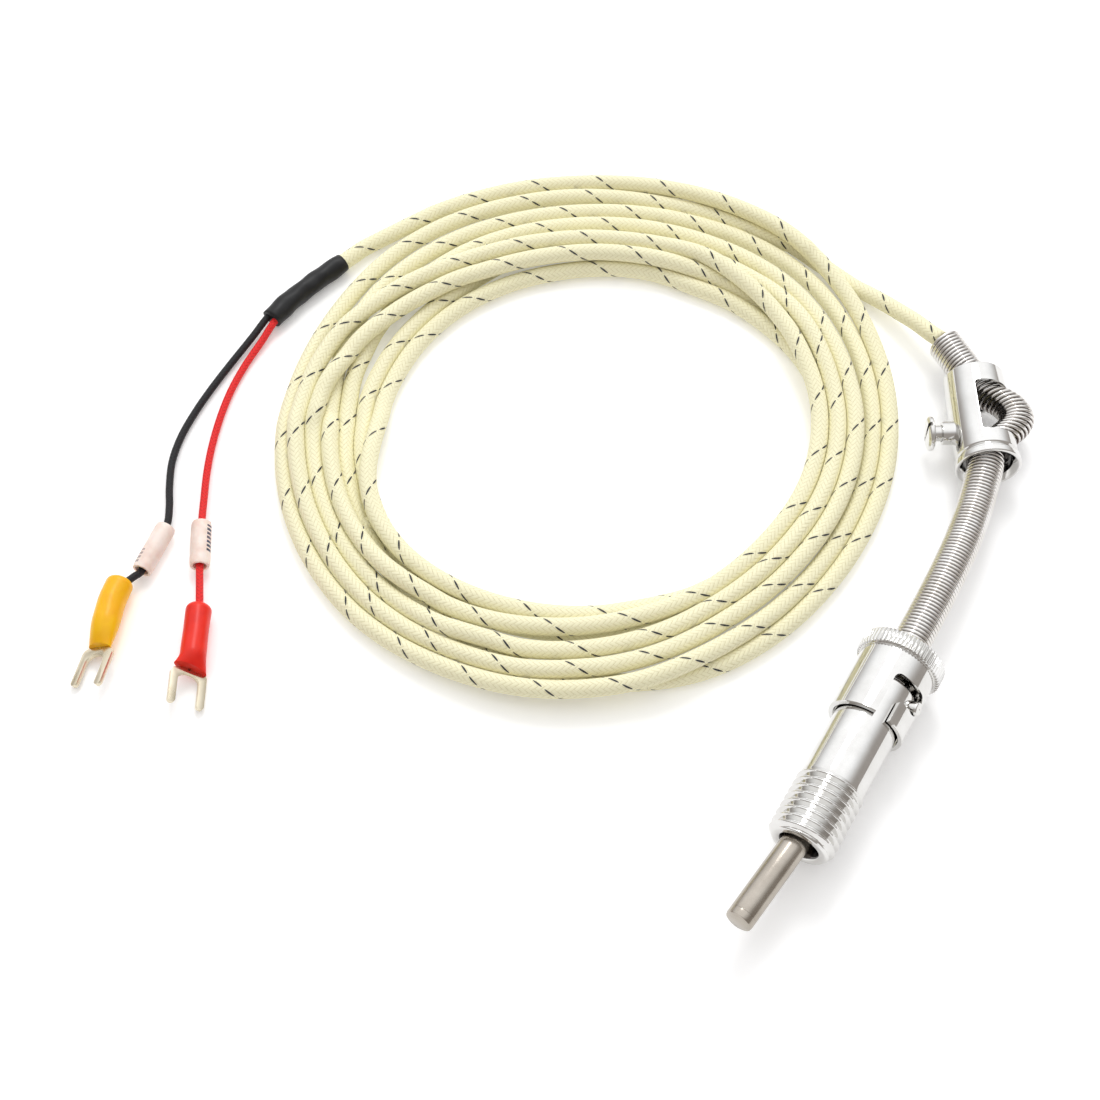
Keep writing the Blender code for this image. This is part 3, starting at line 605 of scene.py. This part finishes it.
def make_camera():
    data = bpy.data.cameras.new("camera")
    data.lens = 67.18
    data.sensor_width = 36.0
    data.clip_start, data.clip_end = 0.01, 20
    camera = bpy.data.objects.new("camera", data)
    bpy.context.scene.collection.objects.link(camera)
    eye, target = Vector((41.45, -185.35, 317.4)) * MM, Vector((-57.722, -13.575, 0)) * MM
    camera.location = eye
    camera.rotation_mode = "QUATERNION"
    camera.rotation_quaternion = (target - eye).to_track_quat("-Z", "Y")
    bpy.context.scene.camera = camera


def area_light(name, where, aim, size, power):
    data = bpy.data.lights.new(name, "AREA")
    data.shape = "RECTANGLE"
    data.size, data.size_y = size
    data.energy = power
    light = bpy.data.objects.new(name, data)
    bpy.context.scene.collection.objects.link(light)
    light.location = where
    light.rotation_mode = "QUATERNION"
    light.rotation_quaternion = (Vector(aim) - Vector(where)).to_track_quat("-Z", "Y")


def make_studio():
    """A white table, a very wide soft glow behind and above the part, and one area light."""
    scene = bpy.context.scene
    scene.view_settings.view_transform = "Standard"
    world = bpy.data.worlds.new("studio")
    scene.world = world
    world.use_nodes = True
    tree = world.node_tree
    brightest = Vector((-0.25, 0.43, 0.87)).normalized()
    direction = node(tree, "ShaderNodeTexCoord").outputs["Generated"]
    facing = node(tree, "ShaderNodeVectorMath", {0: direction, 1: brightest}, operation="DOT_PRODUCT")
    facing = facing.outputs["Value"]
    fade = {"Value": facing, "From Min": 0.25, "From Max": 0.92, "To Min": 0.42, "To Max": 1.35}
    glow = node(tree, "ShaderNodeMapRange", fade, interpolation_type="SMOOTHSTEP")
    background = tree.nodes["Background"]
    tint = ramp(tree, facing, [(0.25, (1.0, 0.93, 0.87)), (0.6, (0.985, 0.99, 1.0))])
    tree.links.new(tint, background.inputs[0])
    tree.links.new(glow.outputs[0], background.inputs[1])
    form = bmesh.new()
    bmesh.ops.create_grid(form, x_segments=1, y_segments=1, size=3.0)
    material, tree, shader = new_material("floor", (0.95, 0.95, 0.95), 0.6, Emission_Strength=0.18)
    shader.inputs["Emission Color"].default_value = (1.0, 1.0, 1.0, 1.0)
    floor = add_mesh("floor", form, material, Matrix.Translation((0, 0, -0.0002)))
    area_light("key", (-0.35, 0.62, 0.95), (-0.05, 0.0, 0.0), (0.35, 0.35), 3.2)


# ---------------------------------------------------------------- the cable and the leads

def coil_route():
    """The coil's turns as one line. Turns that touch are pushed apart until they clear each other."""
    knots = np.array([(angle + 360 * turn, reach, *(height or [CABLE_R]))
                      for turn, row in enumerate(COIL_PASSES) for angle, reach, *height in row], float)
    first, last = math.ceil(knots[0, 0] / COIL_STEP), math.floor(knots[-1, 0] / COIL_STEP)
    samples = np.arange(first, last + 1) * COIL_STEP
    wish = np.stack([soft_interp(samples, knots[:, 0], knots[:, column]) for column in (1, 2)], axis=1)
    line = wish.copy()
    per_turn = round(360 / COIL_STEP)
    width = 2 * CABLE_R + 0.04
    for settling in range(COIL_ROUNDS):
        push = (wish - line) * 0.03
        for turns in range(1, len(COIL_PASSES)):
            gap = turns * per_turn
            if gap >= len(line):
                break
            apart = line[gap:] - line[:-gap]
            wished = wish[gap:, 1] - wish[:-gap, 1]
            distance = np.hypot(apart[:, 0], apart[:, 1]) + 1e-9
            # Turns meant to cross one over the other are parted upwards, the others sideways
            lift = np.where(np.abs(wished) > 0.8, np.sign(wished) * 0.9, 0.0)
            way = apart + np.stack([np.zeros(len(lift)), lift], axis=1)
            way /= np.hypot(way[:, 0], way[:, 1])[:, None] + 1e-9
            short = np.clip(width - distance, 0, None)[:, None] * way * 0.35
            push[gap:] += short
            push[:-gap] -= short
        line = line + push
        line[:, 1] = np.maximum(line[:, 1], CABLE_R + 0.02)
        if settling % 4 == 3 and settling < COIL_ROUNDS - 20:
            line[1:-1] = 0.25 * line[:-2] + 0.5 * line[1:-1] + 0.25 * line[2:]
    turn = np.radians(samples + COIL_TURN)
    x = COIL_X + line[:, 0] * np.cos(turn)
    y = COIL_Y + line[:, 0] * np.sin(turn)
    return placed(zip(x, y, line[:, 1]))


def soft_interp(samples, knots, values):
    """Straight lines between the knots, with their corners rounded by a moving average."""
    reach = 7
    line = np.interp(samples, knots, values)
    kernel = np.hanning(2 * reach + 1)
    kernel /= kernel.sum()
    padded = np.concatenate([np.full(reach, line[0]), line, np.full(reach, line[-1])])
    return np.convolve(padded, kernel, mode="valid")


def clamp_point(along, towards_window, height=CLAMP_Z):
    turn = math.radians(CLAMP_TURN)
    return (CLAMP_X - along * math.sin(turn) + towards_window * math.cos(turn),
            CLAMP_Y + along * math.cos(turn) + towards_window * math.sin(turn), height)


def clamp_direction(along, towards_window):
    return Vector(clamp_point(along, towards_window)) - Vector(clamp_point(0, 0))


def spring_route(spacing):
    in_clamp = [clamp_point(*point) for point in SPRING_ROUTE_CLAMP]
    return smooth_route(placed(SPRING_ROUTE_IN + in_clamp), spacing)


def make_cable(finish):
    inside = spring_route(1.9)
    end, before = Vector(inside[-1]), Vector(inside[-2])
    start = end + (end - before).normalized() * 0.6 * MM
    shrink = smooth_route(placed(SHRINK_ROUTE), 0.5)
    tail = placed(TAIL_ROUTE) + [Vector(shrink[index]) for index in (0, 3, 6)]
    route = smooth_route([start] + placed(LEAD_IN_ROUTE) + coil_route()[2:] + tail, 0.8)
    cable = tube("cable", route, CABLE_R * MM, finish["cable"], 20)
    enlist(cable, ROOT, "cable_braid", "cable_lead_in", "cable_coil", "cable_tail")
    sleeve = make_shrink(shrink, finish["shrink"])
    return shrink


def make_shrink(route, material):
    """The heat-shrink sleeve: drawn in at both ends, a little wavy, and flattened where the leads come out."""
    def dents(turn, length):
        share = length / length[-1]
        neck = 0.16 * np.clip(1 - share / 0.06, 0, 1) + 0.22 * np.clip((share - 0.8) / 0.2, 0, 1)
        waves = 0.05 * np.sin(3 * turn + 900 * length) + 0.04 * np.sin(2 * turn - 1500 * length + 1.0)
        flat = 0.30 * np.cos(turn) ** 2 * np.clip((share - 0.55) / 0.4, 0, 1)
        return (-neck + waves + flat) * MM
    sleeve = tube("heat_shrink", route, 1.98 * MM, material, 32, dents)
    enlist(sleeve, ROOT, "shrink_black", "heat_shrink_sleeve")
    return sleeve


def make_leads(shrink, finish):
    """Both leads, each with its marker, its crimped sleeve and its fork."""
    for colour, crimp, side, route, marker, sleeve_route, marker_turn, shoulder in (
            ("black", "yellow", -1, BLACK_ROUTE, BLACK_MARKER, YELLOW_CRIMP, 110, (1.1, 0.1, 0)),
            ("red", "red", 1, RED_ROUTE, RED_MARKER, RED_CRIMP, -2, (0, 0, 0))):
        aside = Vector((side * 0.88 * MM, 0, 0))
        inside = [Vector(shrink[-11]) + aside, Vector(shrink[-1]) + aside]
        sleeve = smooth_route(placed(sleeve_route), 0.25)
        along = placed(marker)
        points = inside + placed(route) + [along[0], along[0].lerp(along[1], 0.5), along[1]]
        # The black lead enters its sleeve at one shoulder
        shoulder = Vector(shoulder) * MM
        begin = Vector(sleeve[0]) + shoulder
        points += [along[1].lerp(begin, 0.5), begin, Vector(sleeve[8]) + shoulder * 0.5]
        path = smooth_route(points, 0.5)
        lead = tube("lead_wire_" + colour, path, LEAD_R * MM, finish["lead_" + colour], 14)
        enlist(lead, ROOT, "lead_" + colour, "lead_" + colour)
        tag = make_marker(colour, smooth_route(along, 0.5), finish["marker_" + colour], marker_turn)
        cover = make_crimp(crimp, sleeve, finish[crimp])
        fork = make_fork(crimp, sleeve, finish["tinned"])


def make_marker(colour, route, material, turn):
    """A short cut length of tube, with its edges a little rounded. turn says where its printed side faces."""
    outer, inner = 1.85, 1.25
    _, side, up = frames_along(route)
    count = len(route) - 1
    profile = [(0, inner), (0, outer - 0.15), (1, outer - 0.03)]
    profile += [(index, outer) for index in range(2, count - 1)]
    profile += [(count - 1, outer - 0.03), (count, outer - 0.15)]
    profile += [(index, inner) for index in range(count, -1, -1)]
    index = np.array([place_in for place_in, _ in profile])
    radius = np.array([radius for _, radius in profile])
    angle = full_turn(40) + math.radians(turn)
    reach = radius[:, None] * MM * (1 + 0.02 * np.cos(2 * angle))
    rows = rings(route[index], reach, angle, side[index], up[index])
    sleeve = grid_mesh("marker_" + colour, rows, material, uv_length=travelled(route)[index], smooth_angle=40)
    weld(sleeve)
    enlist(sleeve, ROOT, "marker", "marker_sleeve_" + colour)
    return sleeve


def make_crimp(colour, route, material):
    """A soft sleeve over the terminal's barrel: domed at the lead's end, pressed flat at the fork's end. The
    red one's mouth is wider and reaches a little over the fork's root."""
    red = colour == "red"
    girth, pressed = (2.3, 2.4) if red else (2.5, 5.0)
    wide_end, deep_end, sink, reach_out = (3.05, 1.5, 0.6, 0.9) if red else (2.35, 1.2, 0.9, 0.25)
    route = np.asarray(route)
    ahead, side, up = frames_along(route)
    roll = math.radians(FORK_SEAT[colour][0])
    wide_axis = math.cos(roll) * side + math.sin(roll) * up
    deep_axis = math.cos(roll) * up - math.sin(roll) * side
    turn = full_turn(40)
    length = travelled(route) / MM
    from_mouth = length[-1] - length
    dome = np.clip(1 - length / 1.3, 0, None)
    body = girth - 1.4 + 1.4 * np.sqrt(np.clip(1 - dome ** 2.2, 0, None))
    press = np.clip(1 - from_mouth / pressed, 0, None) ** 1.6
    crease = 0.05 * np.sin(0.7 * length + 1.0)
    wide = (body + crease) * (1 - press) + wide_end * press
    deep = (body - crease) * (1 - press) + deep_end * press
    middle = route - deep_axis * (sink * press * MM)[:, None]
    rows = rings(middle, MM, turn, wide[:, None] * wide_axis, deep[:, None] * deep_axis)
    # The mouth's edge is drawn out on one side
    slant = np.cos(turn) if red else -np.sin(turn + 0.5)
    drawn = reach_out * np.clip(1 - from_mouth / 2.0, 0, None)[:, None] * (0.3 + 0.6 * slant)
    rows = rows + MM * drawn[..., None] * ahead[:, None]
    # The wall is thin over the barrel and closes in at both ends, on the lead and on the fork
    wall = 0.2 + 0.72 * np.clip(1 - np.minimum(length, from_mouth) / 1.2, 0, None)
    centre = rows.mean(axis=1, keepdims=True)
    inner = centre + (rows - centre) * (1 - wall)[:, None, None]
    skin = np.concatenate([rows, inner[::-1], rows[:1]])
    sleeve = grid_mesh("crimp_sleeve_" + colour, skin, material, uv_length=np.zeros(len(skin)), smooth_angle=50)
    weld(sleeve)
    enlist(sleeve, ROOT, "crimp_" + colour, "terminal_sleeve_" + colour)
    return sleeve


def make_fork(colour, route, material):
    """A rolled barrel in the sleeve, and a flat tongue with two prongs."""
    barrel_length, crimped, barrel_r, length, half, slot, thickness = 4.8, 3.0, 1.6, 13.2, 3.35, 2.0, 0.8
    tip, slot_depth, slot_round = 0.62, 6.3, 1.5
    roll, inset = FORK_SEAT[colour]
    heading = (Vector(route[-1]) - Vector(route[-14])).normalized()
    start = Vector(route[-1]) - heading * (barrel_length + inset) * MM
    axis = frame_at(start, heading) @ Matrix.Rotation(math.radians(roll), 4, "Z")
    neck = barrel_length + inset + 0.1
    outline = [(1.1, crimped - 1.2), (1.2, neck), (half - 1.0, neck + 0.15), (half - 0.3, neck + 0.55),
               (half, neck + 1.2)]
    outline += arc((half - tip, length - tip), (tip, tip), 0, 90, 6)
    outline += arc((slot + tip, length - tip), (tip, tip), 90, 180, 6)[1:]
    outline += arc((0, length - slot_depth + slot_round), (slot, slot_round), 0, -90, 8)
    outline += [(-x, z) for x, z in reversed(outline[:-1])]
    form = bmesh.new()
    low = 0.05 - barrel_r
    face = form.faces.new([form.verts.new((x * MM, low * MM, z * MM)) for x, z in outline])
    grown = bmesh.ops.extrude_face_region(form, geom=[face])
    verts = [item for item in grown["geom"] if isinstance(item, bmesh.types.BMVert)]
    bmesh.ops.translate(form, vec=(0, thickness * MM, 0), verts=verts)
    fork = add_mesh("fork_" + colour, form, material, axis)
    barrel = lathe(rounded([(1.0, 0), (barrel_r, 0), (barrel_r, crimped), (1.0, crimped)], 0.15), 32)
    cut(fork, barrel, axis, "UNION")
    soften(fork, 0.14, 40.0)
    enlist(fork, ROOT, "tinned", "fork_terminal_" + colour)
    return fork


# ---------------------------------------------------------------- the metal parts

def adapter_axis():
    return frame_at(place((0, 0, AXIS_Z)), (0, 1, 0))


def around_adapter(angle, station):
    turn = math.radians(angle)
    return frame_at(place((0, station, AXIS_Z)), (math.sin(turn), 0, math.cos(turn)), (0, 1, 0))


def thread_depth(phase):
    """Depth in millimetres at each phase of one pitch: rounded crest, straight flanks, narrow root."""
    return 0.88 * np.clip((np.abs(phase - 0.5) * 2 - 0.14) / 0.72, 0, 1)


def make_adapter(material, pin_material):
    """Helical M12 thread, plain body, bore and counterbore, as one closed skin."""
    around, pitch, crest, end = 120, 1.5, 5.92, 12.3
    turn = np.arange(around) / around

    def ring(radius, station):
        return np.stack([radius + 0 * turn, station + 0 * turn], 1)

    rows = [ring(BORE_R, 0.5), ring(BORE_R + 0.45, 0), ring(4.55, 0)]
    for station in [*np.arange(0.0, end, 0.075), end]:
        reach = crest - thread_depth((station / pitch - turn) % 1.0)
        reach = np.minimum(reach, 4.75 + (station + 0.08) * 1.15)
        if station > end - 1.1:
            reach = np.maximum(reach, min(ADAPTER_R - 0.35 + (station - end + 1.1) * 0.3, ADAPTER_R))
        rows.append(ring(reach, station))
    rows += [ring(radius, station) for radius, station in (
        (ADAPTER_R, end + 0.25), (ADAPTER_R, end + 0.6), (ADAPTER_R, ADAPTER_LENGTH - 0.6),
        (ADAPTER_R, ADAPTER_LENGTH - 0.45), (ADAPTER_R - 0.1, ADAPTER_LENGTH - 0.15),
        (ADAPTER_R - 0.35, ADAPTER_LENGTH), (COUNTERBORE_R, ADAPTER_LENGTH), (COUNTERBORE_R, SHOULDER),
        (BORE_R, SHOULDER), (BORE_R, 0.5))]
    rows = np.array(rows) * MM
    angle = turn * 2 * math.pi
    points = np.stack([rows[..., 0] * np.cos(angle), rows[..., 0] * np.sin(angle), rows[..., 1]], axis=-1)
    adapter = grid_mesh("adapter", points, material, smooth_angle=50, matrix=adapter_axis())
    weld(adapter)
    enlist(adapter, "adapter", "chrome", "bayonet_adapter")
    outline = rounded([(PIN_R, COUNTERBORE_R), (PIN_R, PIN_TIP_R), (0.001, PIN_TIP_R + 0.12),
                       (0.001, COUNTERBORE_R)], 0.35, 4)
    for side, angle in (("right", PIN_ANGLE), ("left", PIN_ANGLE + 180)):
        across = around_adapter(angle, PIN_STATION)
        pin = add_mesh("bayonet_pin_" + side, lathe(outline, 36), pin_material, across)
        enlist(pin, "adapter", "chrome", "adapter_pin_" + side)


def slot_form():
    """The L slot as a sector: up from the rim, then round, with rounded corners."""
    corner, round_at = 1.1, 0.5
    corner_turn, round_turn = math.degrees(corner / CAP_R), math.degrees(round_at / CAP_R)
    end_r = (SLOT_TOP - TAB_TOP) / 2
    end_turn = math.degrees(end_r / CAP_R)
    end_from, stop = SLOT_TO - end_turn, TAB_FROM + round_turn
    outline = [(SLOT_FROM, CAP_RIM - 1)]
    outline += arc((SLOT_FROM + corner_turn, SLOT_TOP - corner), (corner_turn, corner), 180, 90, 6)
    outline += [(angle, SLOT_TOP) for angle in np.linspace(SLOT_FROM + corner_turn, end_from, 17)[1:-1]]
    outline += arc((end_from, SLOT_TOP - end_r), (end_turn, end_r), 90, -90, 16)
    outline += [(angle, TAB_TOP) for angle in np.linspace(end_from, stop, 9)[1:-1]]
    outline += arc((stop, TAB_TOP - round_at), (round_turn, round_at), 90, 180, 4)
    outline.append((TAB_FROM, CAP_RIM - 1))
    form = bmesh.new()
    shells = []
    for radius in (CAP_BORE_R - 1, CAP_R + 2.5):
        ring = []
        for angle, station in outline:
            turn = math.radians(angle)
            x, z = radius * MM * math.sin(turn), radius * MM * math.cos(turn)
            ring.append(form.verts.new((x, station * MM, z)))
        shells.append(ring)
    for index in range(len(outline)):
        after = (index + 1) % len(outline)
        form.faces.new((shells[0][index], shells[0][after], shells[1][after], shells[1][index]))
    flat = [Vector((angle * 0.12, station, 0)) for angle, station in outline]
    for corners in geometry.tessellate_polygon([flat]):
        for ring in shells:
            form.faces.new([ring[index] for index in corners])
    return form


def make_cap(material):
    """The bayonet cap: a sleeve with two L slots, a knurled rim and a ceiling with a hole for the spring."""
    outline = [(CAP_BORE_R, CAP_RIM + 0.12), (CAP_BORE_R + 0.12, CAP_RIM), (CAP_R - 0.15, CAP_RIM),
               (CAP_R, CAP_RIM + 0.15), (CAP_R, KNURL_FROM - 0.1), (CAP_R + 0.06, KNURL_FROM),
               (KNURL_R - 0.3, KNURL_FROM), (KNURL_R, KNURL_FROM + 0.28), (KNURL_R, CAP_TOP - 0.45),
               (KNURL_R - 0.12, CAP_TOP - 0.18), (KNURL_R - 0.55, CAP_TOP), (3.95, CAP_TOP),
               (3.7, CAP_TOP - 0.25), (3.7, CAP_CEILING), (CAP_BORE_R, CAP_CEILING)]

    def knurl(radius, step, station):
        if radius < CAP_R + 0.2 or not KNURL_FROM - 0.05 <= station <= CAP_TOP:
            return radius
        depth = KNURL_DEPTHS[step % len(KNURL_DEPTHS)]
        return radius - depth * min(1.0, (radius - CAP_R) / 0.5)

    cap = add_mesh("cap", lathe(outline, KNURL_TEETH * len(KNURL_DEPTHS), knurl), material, adapter_axis(), 30)
    centre = Matrix.Translation(place((0, 0, AXIS_Z)))
    for turn in (0, math.pi):
        cut(cap, slot_form(), centre @ Matrix.Rotation(turn, 4, "Y"))
    cap.data.shade_smooth()
    cap.data.set_sharp_from_angle(angle=math.radians(30))
    enlist(cap, "cap", "chrome", "bayonet_cap")


def make_spring(material, core_material):
    """The close-wound spring as a real helix of wire, and the cable in it. Its first turns, in the adapter,
    are open. Where it bulges out of the clamp its turns slide past each other and stay nearly square to the
    clamp."""
    route = spring_route(0.25)
    length = travelled(route)
    ahead = unit(np.gradient(route, axis=0))
    clamp_axis = unit(np.array(clamp_direction(1, 0)))
    inside = (route - np.array(place(clamp_point(0, 0)))) @ clamp_axis / MM
    held = 0.7 * np.clip((inside - 3.0) / 2.0, 0, 1) * np.clip((18.6 - inside) / 2.2, 0, 1)
    facing = unit(ahead * (1 - held)[:, None] + clamp_axis * held[:, None])
    side = unit(np.cross((0, 0, 1.0), facing))
    up = np.cross(facing, side)
    open_pitch, close_pitch = 1.35, 0.745
    pitch = np.interp(length, [18 * MM, 24 * MM], [open_pitch, close_pitch]) * MM + 0.06 * MM * held
    advance = np.diff(length) * np.einsum("ij,ij->i", ahead, facing)[1:] / pitch[1:]
    turns = np.concatenate([[0], np.cumsum(advance)])
    wanted = np.arange(0, turns[-1], 1 / 22)
    at = np.interp(wanted, turns, length)

    def along(values):
        return np.stack([np.interp(at, length, values[:, axis]) for axis in range(3)], 1)

    middle, side, up = along(route), along(side), along(up)
    angle = (wanted * 2 * math.pi)[:, None]
    outward = np.cos(angle) * side + np.sin(angle) * up
    wire = middle + (SPRING_R - WIRE_R) * MM * outward
    ahead = unit(np.gradient(wire, axis=0))
    across = unit(np.cross(ahead, outward))
    rows = rings(wire, WIRE_R * MM, full_turn(10), np.cross(across, ahead), across)
    spring = grid_mesh("spring", rows, material, cap_ends=True, uv_length=travelled(wire))
    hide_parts("armour_spring")
    core = tube("cable_core", route[23:], CABLE_R * MM, core_material, 16)
    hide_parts("cable_in_spring")
    for piece in (spring, core):
        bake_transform(piece)


def make_clamp(material, screw_material):
    """The clamp sleeve with its flange, window and boss, and the screw in the boss."""
    axis = frame_at(place(clamp_point(0, 0)), clamp_direction(1, 0))
    groove = FLANGE_LENGTH + 0.1
    outline = [(LIP_R, 1.0), (FLANGE_R - 0.6, 0), (FLANGE_R - 0.2, 0), (FLANGE_R, 0.2),
               (FLANGE_R, FLANGE_LENGTH - 0.2), (FLANGE_R - 0.2, FLANGE_LENGTH), (GROOVE_R, groove),
               (GROOVE_R, groove + 0.55), (CLAMP_R, groove + 0.85), (CLAMP_R, CLAMP_LENGTH - 0.2),
               (CLAMP_R - 0.2, CLAMP_LENGTH), (CLAMP_BORE_R, CLAMP_LENGTH), (CLAMP_BORE_R, LIP_LENGTH + 0.5),
               (LIP_R, LIP_LENGTH)]
    sleeve = add_mesh("clamp", lathe(rounded(outline, 0.12, 2), 96), material, axis)
    across = frame_at(place(clamp_point(SCREW_AT, 0)), clamp_direction(0, -1))
    cut(sleeve, rod_form(BOSS_R, CLAMP_BORE_R + 0.1, BOSS_END), across, "UNION")
    cut(sleeve, rod_form(SCREW_R + 0.08, 3.2, BOSS_END + 0.4), across)
    size = (CLAMP_R + 4, 3 * CLAMP_R, WINDOW_TO - WINDOW_FROM)
    middle = place(clamp_point((WINDOW_FROM + WINDOW_TO) / 2, size[0] / 2 + WINDOW_EDGE))
    window = box_form(size)
    long_edges = [edge for edge in window.edges if abs(edge.verts[0].co.y - edge.verts[1].co.y) > 0.01]
    bmesh.ops.bevel(window, geom=long_edges, offset=0.6 * MM, segments=4, affect="EDGES", profile=0.5)
    cut(sleeve, window, frame_at(middle, clamp_direction(1, 0)))
    soften(sleeve, 0.09, 40.0)
    enlist(sleeve, ROOT, "chrome", "clamp_sleeve")
    outline = [(0.001, SCREW_TIP), (SCREW_R - 0.4, SCREW_TIP), (SCREW_R, SCREW_TIP + 0.4),
               (SCREW_R, SCREW_NECK), (SCREW_HEAD_R - 0.25, SCREW_NECK), (SCREW_HEAD_R, SCREW_NECK + 0.25),
               (SCREW_HEAD_R, SCREW_END - 0.35), (SCREW_HEAD_R - 0.5, SCREW_END), (0.001, SCREW_END)]
    screw = add_mesh("screw", lathe(rounded(outline, 0.18, 3), 64), screw_material, across)
    cut(screw, box_form((0.8, 9, 1.4)), across @ Matrix.Translation((0, 0, SCREW_END * MM)))
    soften(screw, 0.06, 45.0)
    enlist(screw, "screw", "chrome", "clamp_screw")


def make_probe(material):
    """The sheath, leaning in the adapter's bore, and the plug welded into its tip."""
    lean_side, lean_up = math.radians(6.0), math.radians(1.5)
    bore, outer, tip, plug_end = 2.0, 2.4, -22.1, -23.6
    axis = frame_at(place((0, 6.7, AXIS_Z)), (math.sin(lean_side) * math.cos(lean_up),
                                              math.cos(lean_side) * math.cos(lean_up), -math.sin(lean_up)))
    outline = rounded([(bore, tip), (outer, tip), (outer, 13.0), (bore, 13.0)], 0.06, 2)
    sheath = add_mesh("sheath", lathe(outline, 72), material, axis)
    enlist(sheath, "probe", "stainless", "probe_sheath")
    outline = [(0.001, plug_end), (outer - 0.45, plug_end), (outer - 0.12, plug_end + 0.14),
               (outer, plug_end + 0.5), (outer, tip - 0.02), (0.001, tip - 0.02)]
    plug = add_mesh("tip_plug", lathe(outline, 72), material, axis)
    enlist(plug, "probe", "stainless", "sheath_tip_plug")


def carry_over(finish):
    """CAD nodes whose shape is right stay, with a better material."""
    for name, material in (
            ("spring_stop_collar", "stainless"), ("ceramic_insulator", "ceramic"),
            ("thermoelement_positive", "spring_steel"), ("thermoelement_negative", "spring_steel"),
            ("measuring_junction", "spring_steel")):
        for place_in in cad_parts[name].material_slots:
            place_in.material = finish[material]


def main():
    make_camera()
    finish = make_materials()
    shrink = make_cable(finish)
    make_leads(shrink, finish)
    make_studio()
    make_adapter(finish["adapter_chrome"], finish["chrome"])
    make_cap(finish["chrome"])
    make_probe(finish["stainless"])
    make_spring(finish["spring_wire"], finish["core"])
    make_clamp(finish["clamp_chrome"], finish["chrome"])
    carry_over(finish)


main()
